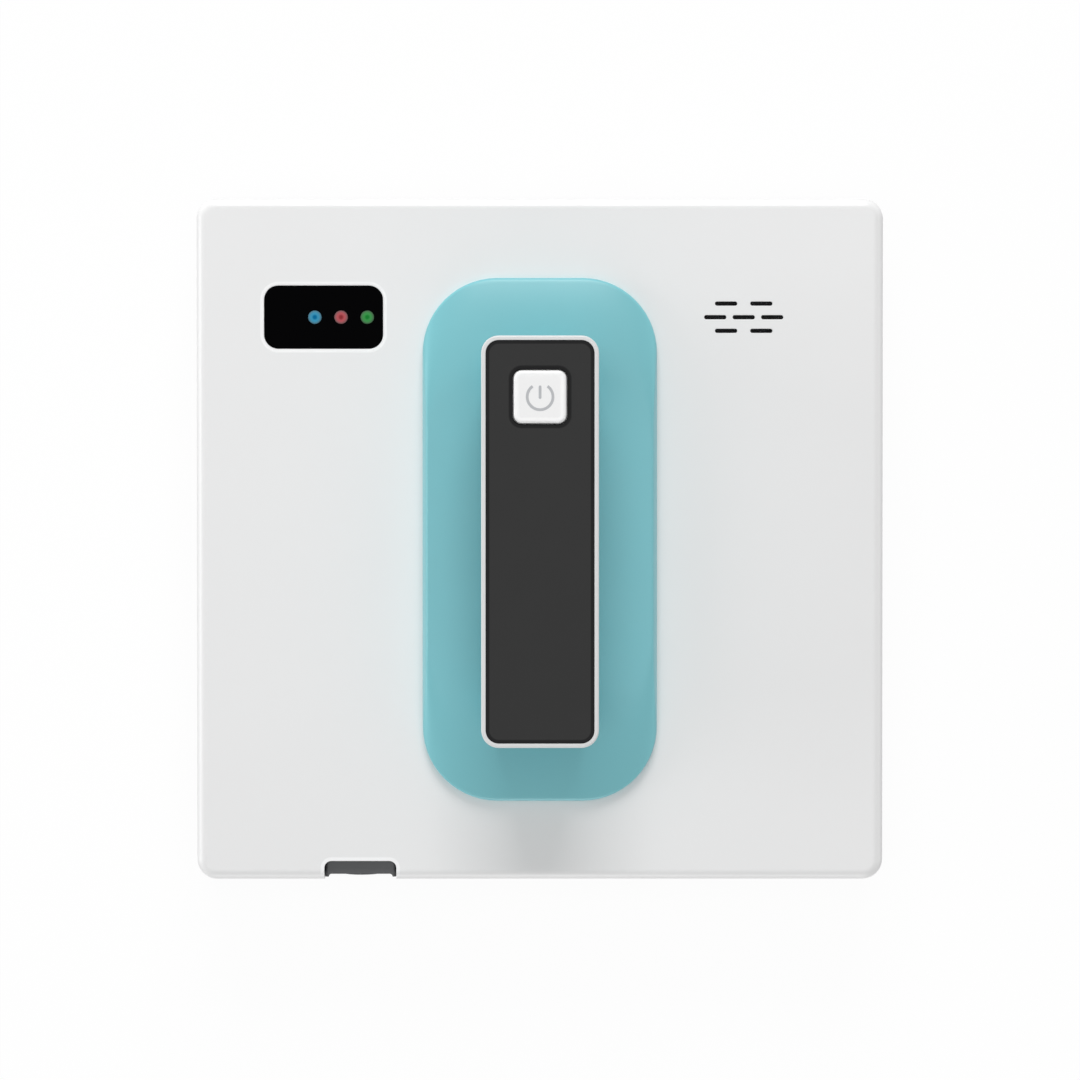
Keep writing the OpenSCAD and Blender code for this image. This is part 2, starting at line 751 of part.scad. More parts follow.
module icon_outline(grow) {
    difference() {
        circle(icon_r + grow);
        circle(icon_r - icon_line - grow);
        translate([-icon_gap_w / 2 + grow, 0]) square([icon_gap_w - 2 * grow, icon_r + over]);
    }
    translate([-icon_line / 2 - grow, icon_bar_foot - grow])
        square([icon_line + 2 * grow, icon_bar_top - icon_bar_foot + 2 * grow]);
}

module power_button() color("white") difference() {
    translate([0, button_y, flange_z]) {
        soft_block(button_w, button_w, button_r, handle_top + button_proud - flange_z, button_edge_r);
        rounded_block(button_w + 2 * flange_w, button_w + 2 * flange_w, button_r, flange_t);
    }
    translate([0, button_y, handle_top + button_proud - icon_depth - snug])
        linear_extrude(icon_depth + over) icon_outline(snug);
}

module power_icon() color("darkgray")
    translate([0, button_y, handle_top + button_proud - icon_depth])
        linear_extrude(icon_depth) icon_outline(0);

module switch_plunger() color("black")
    translate([0, button_y, plunger_z - plunger_l]) cylinder(h = plunger_l, r = plunger_r);

module tact_switch() color("silver") difference() {
    translate([-switch_w / 2, button_y - switch_w / 2, switch_z]) cube([switch_w, switch_w, switch_h]);
    translate([0, button_y, switch_z + switch_floor_t]) cylinder(h = switch_h, r = switch_bore_r);
}

switch_rib_places = [for (x = [-1, 1], y = [-1, 1]) [
    x * (switch_board_w / 2 - rib_in), button_y - 2 * rib_in + y * (switch_board_l / 2 - rib_in),
]];

module switch_board() color("green") difference() {
    translate([-switch_board_w / 2, button_y - 2 * rib_in - switch_board_l / 2, switch_board_z])
        cube([switch_board_w, switch_board_l, board_t]);
    for (p = switch_rib_places) translate([p[0], p[1], switch_board_z - over])
        cylinder(h = board_t + 2 * over, r = board_screw_r + run);
}

// Indicator window and speaker

module light_row(r, z, h) for (i = [-1, 0, 1])
    translate([light_x + i * light_pitch, window_y, z]) cylinder(h = h, r = r);

module indicator_window() color("black") difference() {
    translate([window_x, window_y, body_h - window_t])
        rounded_block(window_w, window_l, window_r, window_t);
    light_row(light_r + snug, body_h - window_t - over, window_t + 2 * over);
}

module light_pipes() color("azure") {
    light_row(light_r, indicator_board_z + board_t + led_h, body_h - indicator_board_z - board_t - led_h);
    translate([light_x - light_pitch, window_y - light_web_w / 2,
        body_h - window_t - touch - light_web_t])
        cube([2 * light_pitch, light_web_w, light_web_t]);
}

module indicator_board() color("green") difference() {
    translate([window_x - indicator_board_w / 2, window_y - indicator_board_l / 2, indicator_board_z])
        cube([indicator_board_w, indicator_board_l, board_t]);
    for (x = [-1, 1]) translate([window_x + x * indicator_post_x, window_y, indicator_board_z - over])
        cylinder(h = board_t + 2 * over, r = board_screw_r + run);
}

module indicator_leds() color("lightyellow") translate([0, 0, indicator_board_z + board_t]) {
    for (i = [-1, 0, 1]) translate([light_x + i * light_pitch - led_w / 2, window_y - led_w / 2, 0])
        cube([led_w, led_w, led_h]);
    translate([receiver_x - receiver_w / 2, window_y - receiver_l / 2, 0])
        cube([receiver_w, receiver_l, receiver_h]);
}

module speaker_mesh() color("black")
    translate([speaker_x, speaker_y, ceiling_z - mesh_t]) cylinder(h = mesh_t, r = speaker_r);

module speaker() color("dimgray")
    translate([speaker_x, speaker_y, ceiling_z - mesh_t - snug - frame_h]) {
        cylinder(h = frame_h, r = speaker_r);
        translate([0, 0, -basket_h]) cylinder(h = basket_h + sink, r = basket_r);
        translate([0, 0, -basket_h - magnet_h]) cylinder(h = magnet_h + sink, r = magnet_r);
    }

// Power inlet

module inlet_housing() color("dimgray") difference() {
    union() {
        translate([notch_x, inlet_face + inlet_l / 2, inlet_z])
            rounded_block(inlet_w, inlet_l, inlet_r, inlet_top - inlet_z);
        translate([notch_x, inlet_face + sink, jack_z]) rotate([90, 0, 0]) difference() {
            cylinder(h = collar_h + sink, r = collar_r);
            translate([0, 0, sink]) cylinder(h = collar_h + over, r = collar_in_r);
        }
    }
    translate([notch_x, inlet_face + jack_depth, jack_z]) rotate([90, 0, 0])
        cylinder(h = jack_depth + over, r = jack_r);
    translate([notch_x, inlet_face + jack_depth + jack_root_l + snug, jack_z]) rotate([90, 0, 0])
        cylinder(h = jack_root_l + over, r = jack_root_r + snug);
}

module inlet_pin() color("silver") translate([notch_x, inlet_face + jack_depth, jack_z])
    rotate([90, 0, 0]) {
        cylinder(h = jack_pin_l, r = jack_pin_r);
        translate([0, 0, -jack_root_l]) cylinder(h = jack_root_l, r = jack_root_r);
    }

// Cleaning pad

module hook_strips() color("black") translate([0, 0, pad_t]) linear_extrude(hook_t) {
    for (y = [-1, 1]) translate([0, y * (pad_l + pad_inner_l) / 4])
        square([pad_w - 2 * strip_end, strip_share * (pad_l - pad_inner_l) / 2], center = true);
    for (x = [-1, 1]) translate([x * (pad_w + pad_inner_w) / 4, 0])
        square([strip_share * (pad_w - pad_inner_w) / 2, pad_l - 2 * strip_end], center = true);
}

module cleaning_pad() color("lightsteelblue") linear_extrude(pad_t) difference() {
    rounded(pad_w, pad_l, pad_r);
    rounded(pad_inner_w, pad_inner_l, pad_inner_r);
    for (p = probe_places) translate(p) circle(pad_hole_r);
}

// Track units

// Angle of an involute at radius r, from its start at the base circle
function involute_turn(r, start_r) = let (c = start_r / r, a = acos(min(1, c)))
    tan(a) * 180 / PI - a;

// Outline of a gear whose first tooth is centred on angle turn
function gear_points(teeth, turn) =
    let (
        pitch = gear_module * teeth / 2,
        start = pitch * cos(pressure_angle),
        tip = pitch + gear_module * addendum,
        root = pitch - gear_module * dedendum,
        low = max(start, root),
        half = 90 / teeth - backlash / 4 / pitch * 180 / PI + involute_turn(pitch, start)
    )
    [for (k = [0 : teeth - 1]) let (mid = turn + k * 360 / teeth, at = half - involute_turn(low, start))
        each concat(
            [root * [cos(mid - at), sin(mid - at)]],
            [for (i = [0 : flank_steps]) let (r = low + (tip - low) * i / flank_steps,
                a = mid - half + involute_turn(r, start)) r * [cos(a), sin(a)]],
            [for (i = [flank_steps : -1 : 0]) let (r = low + (tip - low) * i / flank_steps,
                a = mid + half - involute_turn(r, start)) r * [cos(a), sin(a)]],
            [root * [cos(mid + at), sin(mid + at)]]
        )];

// Outline of a belt's loop at distance r from the line between its wheels
module loop_outline(r) {
    square([axle_span, 2 * r], center = true);
    for (y = [-1, 1]) translate([y * axle_y, 0]) circle(r);
}

// Cross ribs of the tread, spread evenly along the straight runs and round the wheels
tread_runs = round(axle_span / (2 * tread_w + touch));
tread_turns = round(PI * belt_r / (2 * tread_w + touch));

module treads() {
    for (i = [0 : tread_runs], side = [-1, 1])
        translate([-axle_y + axle_span * i / tread_runs - tread_w / 2, side > 0 ? belt_r - sink : -tread_r])
            square([tread_w, tread_h + sink]);
    for (i = [1 : tread_turns - 1], side = [-1, 1])
        translate([side * axle_y, 0]) rotate(-90 * side + 180 * i / tread_turns)
            translate([belt_r - sink, -tread_w / 2]) square([tread_h + sink, tread_w]);
}

module belt() color("black") translate([-track_x, 0, wheel_z]) along_x(-belt_w / 2, belt_w) difference() {
    union() {
        loop_outline(belt_r);
        treads();
    }
    loop_outline(belt_in_r);
}

module wheel_bore(x0, x1) rod_x(x0 - over, x1 - x0 + 2 * over, axle_r + snug);

// Drum between two rims, hollowed from its outboard side, about the wheel's own axis
module wheel_drum() difference() {
    union() {
        rod_x(-wheel_half, 2 * wheel_half, drum_r);
        for (x = [-wheel_half, wheel_half - rim_t]) rod_x(x, rim_t, drum_r + rim_h);
    }
    difference() {
        rod_x(-wheel_half - over, 2 * wheel_half - web_t + over, web_r);
        rod_x(-wheel_half - 2 * over, 2 * wheel_half + over, hub_r);
    }
    wheel_bore(-wheel_half, wheel_half);
}

module drive_wheel() color("slategray") translate([-track_x, axle_y, wheel_z]) {
    wheel_drum();
    difference() {
        along_x(wheel_half, gear_w) polygon(gear_points(gear_teeth, pinion_side));
        wheel_bore(wheel_half, wheel_half + gear_w);
    }
}

module idler_wheel() color("slategray") translate([-track_x, -axle_y, wheel_z]) wheel_drum();

module axle(y) color("silver") translate([-track_x, y, wheel_z])
    rod_x(-tunnel_out - tunnel_wall, tunnel_w + 2 * tunnel_wall, axle_r);

module pinion() color("goldenrod") translate([-track_x, pinion_y, pinion_z]) {
    along_x(wheel_half, gear_w)
        polygon(gear_points(pinion_teeth, pinion_side + half_turn + half_turn / pinion_teeth));
    rod_x(wheel_half + gear_w, side_gap + tunnel_wall + shaft_l, shaft_r);
}

tab_places = [for (x = [-1, 1], y = [-tunnel_rear - tunnel_wall - tab_l / 2,
    tunnel_front + tunnel_wall + tab_l / 2]) [tunnel_mid + x * tab_w / 2, y]];

module track_frame() color("darkslategray") translate([-track_x, 0, 0]) difference() {
    union() {
        difference() {
            translate([tunnel_mid, tunnel_mid_y, floor_z])
                linear_extrude(tunnel_top + tunnel_wall - floor_z)
                    square([tunnel_w + 2 * tunnel_wall, tunnel_l + 2 * tunnel_wall], center = true);
            translate([tunnel_mid, tunnel_mid_y, floor_z - over])
                linear_extrude(tunnel_top - floor_z + over) square([tunnel_w, tunnel_l], center = true);
        }
        for (y = [-tunnel_rear - tunnel_wall - tab_l, tunnel_front + tunnel_wall])
            translate([tunnel_mid - tab_w, y, floor_top]) cube([2 * tab_w, tab_l, tab_t]);
        for (z = [wheel_z - belt_in_r + rail_gap, wheel_z + belt_in_r - rail_gap - rail_t])
            along_x(-tunnel_out - sink, tunnel_w + 2 * sink)
                translate([-rail_half, z]) square([2 * rail_half, rail_t]);
    }
    for (y = [-1, 1]) translate([0, y * axle_y, wheel_z])
        rod_x(-tunnel_out - tunnel_wall - over, tunnel_w + 2 * tunnel_wall + 2 * over, axle_r + run);
    translate([0, pinion_y, pinion_z]) rod_x(tunnel_in - over, tunnel_wall + 2 * over, shaft_r + fit);
    for (p = tab_places) translate([p[0], p[1], floor_top - over])
        cylinder(h = tab_t + 2 * over, r = screw_hole_r);
}

module gearmotor() color("silver") translate([-track_x + tunnel_in + tunnel_wall, pinion_y, pinion_z]) {
    difference() {
        union() {
            rod_x(snug, gearbox_l, gearbox_r);
            rod_x(gearbox_l, can_l, can_r);
        }
        rod_x(-over, shaft_l + touch + over, shaft_r + run);
    }
    for (z = [-1, 1]) translate([gearbox_l + can_l - sink, 0, z * terminal_pitch / 2])
        translate([0, -terminal_t / 2, -terminal_w / 2]) cube([terminal_l + sink, terminal_t, terminal_w]);
}

module turned() rotate(180) children();

// Suction fan

module volute_outline(in) {
    circle(volute_r - in);
    translate([duct_x - duct_w / 2 + in, 0]) square([duct_w - 2 * in, inner_l / 2 - lip_t - fit - duct_end]);
}

module grille_outline() {
    circle(grille_hub_r);
    for (r = [grille_hub_r + grille_gap : grille_ring + grille_gap : intake_r - 2 * grille_rim])
        difference() {
            circle(r + grille_ring);
            circle(r);
        }
    difference() {
        circle(intake_r - snug);
        circle(intake_r - grille_rim);
    }
    for (i = [0 : grille_spokes - 1]) rotate(i * 360 / grille_spokes)
        translate([0, -grille_ring / 2]) square([intake_r - grille_rim / 2, grille_ring]);
}

module intake_grille() color("dimgray")
    translate([0, 0, floor_z]) linear_extrude(floor_t) grille_outline();

module volute_base() color("gray") difference() {
    translate([0, 0, volute_base_z]) linear_extrude(volute_base_t) volute_outline(0);
    translate([0, 0, volute_base_z - over]) cylinder(h = volute_base_t + 2 * over, r = eye_r);
}

module volute_cover() color("gray") difference() {
    translate([0, 0, volute_z]) linear_extrude(volute_h) volute_outline(0);
    translate([0, 0, volute_z - over]) linear_extrude(volute_h - volute_wall + over) {
        volute_outline(volute_wall);
        translate([duct_x - duct_w / 2 + volute_wall, inner_l / 2 - duct_w])
            square([duct_w - 2 * volute_wall, duct_w]);
    }
    translate([0, 0, volute_top - volute_wall - over])
        cylinder(h = volute_wall + 2 * over, r = motor_hole_r);
}

// One curved blade: a stretch of a thin ring between the impeller's eye and its rim
module blade_outline() intersection() {
    difference() {
        circle(impeller_r - blade_in);
        circle(blade_in_r);
    }
    translate([blade_in_r, blade_arc_r]) difference() {
        circle(blade_arc_r);
        circle(blade_arc_r - blade_t);
    }
    translate([0, -impeller_r]) square([impeller_r, 2 * impeller_r]);
}

module fan_impeller() color("whitesmoke") difference() {
    union() {
        translate([0, 0, disc_top - disc_t]) cylinder(h = disc_t, r = impeller_r);
        translate([0, 0, disc_top - disc_t - blade_h]) cylinder(h = blade_h + disc_t, r = fan_hub_r);
        for (i = [0 : blade_count - 1]) rotate(i * 360 / blade_count)
            translate([0, 0, disc_top - disc_t - blade_h]) linear_extrude(blade_h + sink) blade_outline();
    }
    translate([0, 0, disc_top - disc_t - blade_h - over])
        cylinder(h = blade_h + disc_t + 2 * over, r = fan_shaft_r + snug);
}

module fan_shaft() color("silver") translate([0, 0, shaft_z])
    cylinder(h = shaft_top - shaft_z, r = fan_shaft_r);

module fan_motor() color("silver") difference() {
    union() {
        translate([0, 0, volute_top]) cylinder(h = motor_h, r = motor_r);
        translate([0, 0, volute_top - volute_wall]) cylinder(h = volute_wall + sink, r = motor_boss_r);
    }
    translate([0, 0, volute_top - volute_wall - over])
        cylinder(h = motor_h + volute_wall + 2 * over, r = fan_shaft_r + run);
}

// Battery and main board

module battery_tray() color("black") translate([tray_x, 0, floor_top]) difference() {
    translate([-tray_w / 2, -tray_l / 2, 0]) cube([tray_w, tray_l, tray_h]);
    translate([-tray_w / 2 + tray_wall, -tray_l / 2 + tray_wall, tray_floor])
        cube([tray_w - 2 * tray_wall, tray_l - 2 * tray_wall, tray_h]);
}

module battery_cells() color("royalblue") for (i = [0 : cell_columns - 1], y = [0, 1])
    translate([tray_x + (i - (cell_columns - 1) / 2) * cell_pitch, y * (cell_l + fit) - fit / 2, cell_z])
        rotate([90, 0, 0]) cylinder(h = cell_l, r = cell_r);

main_post_places = [for (x = [-1, 1], y = [-1, 1])
    [main_board_x + x * (main_board_w / 2 - rib_in), y * (main_board_l / 2 - rib_in)]];

module main_board() color("green") difference() {
    translate([main_board_x - main_board_w / 2, -main_board_l / 2, main_board_z])
        cube([main_board_w, main_board_l, board_t]);
    for (p = main_post_places) translate([p[0], p[1], main_board_z - over])
        cylinder(h = board_t + 2 * over, r = board_screw_r + run);
}

module board_parts() color("black") translate([main_board_x, 0, main_board_z + board_t]) {
    for (s = chip_places_share)
        translate([s[0] * main_board_w - chip_w / 2, s[1] * main_board_l - chip_w / 2, 0])
            cube([chip_w, chip_w, chip_t]);
    for (x = [-1, 1]) translate([x * (capacitor_r + fit), capacitor_share * main_board_l, 0])
        cylinder(h = capacitor_h, r = capacitor_r);
    for (s = connector_shares)
        translate([main_board_w / 2 - connector_in - connector_w / 2, s * main_board_l - connector_l / 2, 0])
            cube([connector_w, connector_l, connector_h]);
}

// Edge probes

module probe(i) color("white") translate([probe_places[i][0], probe_places[i][1], 0]) {
    translate([0, 0, probe_r]) sphere(probe_r);
    translate([0, 0, probe_r]) cylinder(h = collar_z - probe_r + sink, r = probe_r);
    translate([0, 0, collar_z]) cylinder(h = probe_collar_t, r = probe_collar_r);
    translate([0, 0, collar_z]) cylinder(h = probe_boss_top + probe_cap_t - touch - collar_z, r = stem_r);
}

module probe_caps() color("dimgray") for (p = probe_places) translate([p[0], p[1], probe_boss_top])
    difference() {
        union() {
            cylinder(h = probe_cap_t, r = probe_boss_r);
            translate([0, 0, -probe_plug_t]) cylinder(h = probe_plug_t + sink, r = probe_bore_r - snug);
        }
        translate([0, 0, -probe_plug_t - over])
            cylinder(h = probe_cap_t + probe_plug_t + 2 * over, r = stem_hole_r);
    }

module probe_switches() color("black") for (p = probe_places)
    translate([p[0] - probe_switch_w / 2, p[1] - probe_switch_l / 2, probe_boss_top + probe_cap_t])
        cube([probe_switch_w, probe_switch_l, probe_switch_h]);

// A coil spring's wire is one tube round a helix
function coil_ring(turn, rise) = [for (s = [0 : spring_sides - 1])
    let (a = 360 * s / spring_sides, r = spring_r + wire_r * cos(a))
    [r * cos(turn), r * sin(turn), rise + wire_r * sin(a)]];

coil_rings = spring_turns * spring_rings;
coil_points = [for (i = [0 : coil_rings])
    each coil_ring(i * 360 / spring_rings, spring_foot + (spring_head - spring_foot) * i / coil_rings)];
coil_faces = concat(
    [for (s = [1 : spring_sides - 2]) [0, s, s + 1]],
    [for (i = [0 : coil_rings - 1], s = [0 : spring_sides - 1])
        let (a = i * spring_sides + s, b = i * spring_sides + (s + 1) % spring_sides)
        each [[a, a + spring_sides, b], [b, a + spring_sides, b + spring_sides]]],
    [for (s = [1 : spring_sides - 2]) let (e = coil_rings * spring_sides) [e, e + s + 1, e + s]]
);
// The least gap between two turns, measured between points one turn or more apart
coil_gap = min([
    for (a = [0 : coil_rings - spring_rings], b = [a + spring_rings : coil_rings],
        p = [0 : spring_sides - 1], q = [0 : spring_sides - 1])
        norm(coil_points[a * spring_sides + p] - coil_points[b * spring_sides + q])
]);
echo(least_gap_between_turns = coil_gap);

module spring(i) color("silver")
    translate([probe_places[i][0], probe_places[i][1], 0]) polyhedron(coil_points, coil_faces);

// Screws

module case_screws() color("silver") for (p = case_screw_places)
    translate([p[0], p[1], boss_top - seat_t]) case_screw();

module handle_screws() color("silver") {
    for (y = [-1, 1]) translate([0, y * leg_y, ceiling_z])
        for (x = [-1, 1]) translate([x * leg_screw_x, 0, 0]) case_screw();
    for (x = [-1, 1], y = [-1, 1]) translate([x * base_screw_x, y * base_screw_y, ceiling_z])
        screw(screw_r, wall + base_h - 2 * base_wall, head_r, head_t);
    for (s = cap_screw_shares) translate([0, s * handle_l, grip_z + grip_floor_t + cap_boss_h - cap_seat_t])
        screw(screw_r, cap_screw_l, head_r, head_t);
}

module inner_screws() color("silver") {
    for (turn = [0, 180]) rotate(turn) translate([-track_x, 0, 0]) for (p = tab_places)
        translate([p[0], p[1], floor_top + tab_t]) mirror([0, 0, 1])
            screw(screw_r, tab_t + floor_t / 2, head_r, head_t);
    for (p = main_post_places) translate([p[0], p[1], main_board_z + board_t])
        mirror([0, 0, 1]) board_screw();
    for (p = switch_rib_places) translate([p[0], p[1], switch_z])
        mirror([0, 0, 1]) screw(board_screw_r, board_t + grip_floor_t / 2, board_head_r, board_head_t);
    for (x = [-1, 1]) translate([window_x + x * indicator_post_x, window_y, indicator_board_z])
        screw(board_screw_r, indicator_screw_l, board_head_r, board_head_t);
}

top_cover();
chassis();
handle_base();
handle_bridge();
handle_cap();
handle_inlay();
power_button();
power_icon();
switch_plunger();
tact_switch();
switch_board();
indicator_window();
light_pipes();
indicator_board();
indicator_leds();
speaker_mesh();
speaker();
inlet_housing();
inlet_pin();
hook_strips();
cleaning_pad();
belt();  // left_track_belt
turned() belt();  // right_track_belt
track_frame();  // left_track_frame
turned() track_frame();  // right_track_frame
drive_wheel();  // left_drive_wheel
turned() drive_wheel();  // right_drive_wheel
axle(axle_y);  // left_drive_axle
turned() axle(axle_y);  // right_drive_axle
idler_wheel();  // left_idler_wheel
turned() idler_wheel();  // right_idler_wheel
axle(-axle_y);  // left_idler_axle
turned() axle(-axle_y);  // right_idler_axle
pinion();  // left_pinion
turned() pinion();  // right_pinion
gearmotor();  // left_gearmotor
turned() gearmotor();  // right_gearmotor
intake_grille();
volute_base();
volute_cover();
fan_impeller();
fan_shaft();
fan_motor();
battery_tray();
battery_cells();
main_board();
board_parts();
probe(0);  // probe_front_left
probe(1);  // probe_front_right
probe(2);  // probe_rear_left
probe(3);  // probe_rear_right
spring(0);  // spring_front_left
spring(1);  // spring_front_right
spring(2);  // spring_rear_left
spring(3);  // spring_rear_right
probe_caps();
probe_switches();
case_screws();
handle_screws();
inner_screws();
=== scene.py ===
"""Looks of a window cleaning robot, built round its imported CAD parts.

The robot lies on its cleaning face. Lengths are in millimetres while a piece is modelled and become
metres when it turns into an object. The origin is on the glass under the middle of the body, +Y
points to the indicator end and +Z away from the glass, as in the CAD parts.
"""

from __future__ import annotations

import logging
import math
from dataclasses import dataclass, replace
from enum import Enum

import bmesh
import bpy
from bmesh.types import BMesh, BMFace, BMVert
from mathutils import Matrix, Vector, noise


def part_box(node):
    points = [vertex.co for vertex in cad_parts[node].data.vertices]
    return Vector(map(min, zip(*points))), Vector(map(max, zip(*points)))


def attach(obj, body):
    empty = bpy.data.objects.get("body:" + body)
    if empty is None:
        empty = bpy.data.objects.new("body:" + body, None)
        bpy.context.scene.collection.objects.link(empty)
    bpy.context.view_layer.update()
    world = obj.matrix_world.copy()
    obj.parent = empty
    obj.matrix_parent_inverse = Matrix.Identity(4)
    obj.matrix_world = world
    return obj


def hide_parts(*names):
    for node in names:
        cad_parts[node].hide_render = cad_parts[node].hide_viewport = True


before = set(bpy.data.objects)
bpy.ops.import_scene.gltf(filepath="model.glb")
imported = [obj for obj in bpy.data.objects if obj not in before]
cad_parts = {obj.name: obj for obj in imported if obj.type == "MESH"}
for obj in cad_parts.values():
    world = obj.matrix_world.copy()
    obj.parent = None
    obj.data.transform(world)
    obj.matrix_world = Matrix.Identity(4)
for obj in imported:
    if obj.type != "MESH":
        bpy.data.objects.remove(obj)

MM = 0.001
Colour = tuple[float, float, float]
LOG = logging.getLogger("window_robot")

# Lengths that several pieces share, in millimetres

MERGE = 0.0005  # points that are closer than this become one
OVER = 1.0  # how far a cutting solid reaches past the face that it cuts
ROOT = 0.5  # how far a solid that is joined on reaches into the other
THREAD = 1.3  # radius of a screw's threaded hole
SMALL_THREAD = 0.95  # the same for the screws of the two small boards
CLEARANCE = 1.6  # radius of a hole that a screw goes through freely
LAP = 0.1  # how far the cut for a sloping lip goes on down inside its opening
FLAT_END = 0.02  # what the ends of a slot fall short of half circles


# Modelling


class Join(Enum):
    """How a tool solid changes the piece that it meets."""

    TAKE = "DIFFERENCE"
    ADD = "UNION"


@dataclass(frozen=True)
class Place:
    """Where a CAD node is, in millimetres.

    Attributes:
        low: Its lowest corner.
        high: Its highest corner.
    """

    low: Vector
    high: Vector

    @classmethod
    def of(cls, node: str) -> Place:
        """Return the place of the CAD node of that name."""
        low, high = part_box(node)
        return cls(low / MM, high / MM)

    @property
    def size(self) -> Vector:
        """Width, length and height of the node."""
        return self.high - self.low

    @property
    def middle(self) -> Vector:
        """Middle of the node's box."""
        return (self.high + self.low) / 2

    def outline(self, radius: float, arc: int) -> Outline:
        """Return the box seen from above, with round corners."""
        return Outline(self.size.x, self.size.y, radius, self.middle.x, self.middle.y, arc)


@dataclass(frozen=True)
class Outline:
    """A flat rectangle with round corners, seen from above.

    Attributes:
        width: Its size along X.
        length: Its size along Y.
        radius: Radius of its corners.
        x: Where its middle is along X.
        y: Where its middle is along Y.
        arc: Number of edges in each corner.
    """

    width: float
    length: float
    radius: float
    x: float = 0.0
    y: float = 0.0
    arc: int = 8

    def grown(self, by: float) -> Outline:
        """Return the outline moved outwards all round, or inwards where the number is negative."""
        width, length = self.width + 2 * by, self.length + 2 * by
        return replace(self, width=width, length=length, radius=self.radius + by)

    def face(self, bm: BMesh, z: float) -> BMFace:
        """Draw the outline as the first face of an empty mesh.

        Args:
            bm: The mesh that gets the face.
            z: Height of the face.

        Returns:
            The face, which points up.
        """
        bmesh.ops.create_grid(bm, x_segments=1, y_segments=1, size=0.5)
        bmesh.ops.scale(bm, vec=(self.width, self.length, 1), verts=bm.verts)
        bmesh.ops.translate(bm, vec=(self.x, self.y, z), verts=bm.verts)
        if self.radius > 0:
            bmesh.ops.bevel(bm, geom=list(bm.verts), offset=self.radius, offset_type="OFFSET",
                            segments=self.arc, profile=0.5, affect="VERTICES", material=-1)
        return bm.faces[:][0]


class Tiers:
    """A closed solid that is grown tier by tier from a flat outline.

    Args:
        outline: Shape of the foot.
        z: Height of the foot.
        rise: Height of the first, upright tier, negative where it is grown downwards.
    """

    def __init__(self, outline: Outline, z: float, rise: float) -> None:
        """Draw the foot and raise the first tier."""
        self.bm = bmesh.new()
        self.foot = outline.face(self.bm, z)
        self.top = self._moved(self.foot, rise, keep=True)

    def _moved(self, face: BMFace, rise: float, keep: bool = False) -> BMFace:
        """Extrude a face upright.

        Args:
            face: The face that is extruded.
            rise: How far it moves along Z.
            keep: Whether the old face stays, to close the foot.

        Returns:
            The face at the end.
        """
        made = bmesh.ops.extrude_face_region(self.bm, geom=[face])
        moved = next(item for item in made["geom"] if isinstance(item, BMFace))
        if not keep:
            bmesh.ops.delete(self.bm, geom=[face], context="FACES_ONLY")
        bmesh.ops.translate(self.bm, vec=(0, 0, rise), verts=moved.verts)
        return moved

    def _taken_in(self, face: BMFace, inset: float, rise: float) -> BMFace:
        """Inset a face, move it along Z and return it."""
        bmesh.ops.inset_individual(self.bm, faces=[face], thickness=inset, depth=0,
                                   use_even_offset=True)
        bmesh.ops.translate(self.bm, vec=(0, 0, rise), verts=face.verts)
        return face

    def rise(self, height: float) -> Tiers:
        """Add an upright tier."""
        self.top = self._moved(self.top, height)
        return self

    def slope(self, inset: float, rise: float, along: float | None = None) -> Tiers:
        """Add a sloping tier.

        Args:
            inset: How far its top lies inside its foot.
            rise: Its height.
            along: The inset at the two ends, where it differs from that at the sides.

        Returns:
            The solid itself.
        """
        self._taken_in(self.top, inset, rise)
        if along is not None:
            middle = self.top.calc_center_median().y
            for side in (-1, 1):
                verts = [v for v in self.top.verts if (v.co.y - middle) * side > 0]
                bmesh.ops.translate(self.bm, vec=(0, side * (inset - along), 0), verts=verts)
        return self

    def round_over(self, radius: float, steps: int) -> Tiers:
        """Close the solid with a rounded edge.

        Args:
            radius: Radius of the edge, negative where the solid is grown downwards.
            steps: Number of tiers in the edge.

        Returns:
            The solid itself.
        """
        turns = [math.radians(90 * i / steps) for i in range(steps + 1)]
        for last, turn in zip(turns, turns[1:]):
            self.slope(abs(radius) * (math.cos(last) - math.cos(turn)),
                       radius * (math.sin(turn) - math.sin(last)))
        return self

    def hollow(self, wall: float, depth: float) -> Tiers:
        """Sink a pocket into the foot.

        Args:
            wall: What stays round the pocket.
            depth: How far it goes up from the foot.

        Returns:
            The solid itself.
        """
        self._taken_in(self.foot, wall, 0)
        self.foot = self._moved(self.foot, depth)
        return self


def through(outline: Outline, foot: float, height: float) -> BMesh:
    """Make an upright solid that cuts right through a wall.

    Args:
        outline: The opening, seen from above.
        foot: Height of the wall's lower face.
        height: Thickness of the wall.

    Returns:
        The mesh.
    """
    return Tiers(outline, foot - OVER, height + 2 * OVER).bm


def sunk_lip(outline: Outline, top: float, width: float, depth: float) -> BMesh:
    """Make what is cut away for a sloping lip round an opening.

    Args:
        outline: The opening, seen from above.
        top: Height of the face round it.
        width: Width of the lip.
        depth: Depth of the lip where it meets the opening.

    Returns:
        The mesh.
    """
    return Tiers(outline.grown(width), top + ROOT, -ROOT).slope(width, -depth).rise(-LAP).bm


def round_ended(width: float, length: float, x: float, y: float, arc: int) -> Outline:
    """Return the outline of a slot, whose ends keep a short straight edge between their arcs."""
    return Outline(width, length, min(width, length) / 2 - FLAT_END, x, y, arc)


def cylinder(radius: float, low: float, high: float, x: float = 0.0, y: float = 0.0,
             sides: int = 32) -> BMesh:
    """Make an upright cylinder.

    Args:
        radius: Its radius.
        low: Height of its foot.
        high: Height of its top.
        x: Where its axis is along X.
        y: Where its axis is along Y.
        sides: Number of its side faces.

    Returns:
        The mesh.
    """
    bm = bmesh.new()
    bmesh.ops.create_cone(bm, cap_ends=True, segments=sides, radius1=radius, radius2=radius,
                          depth=high - low)
    bmesh.ops.translate(bm, vec=(x, y, (low + high) / 2), verts=bm.verts)
    return bm


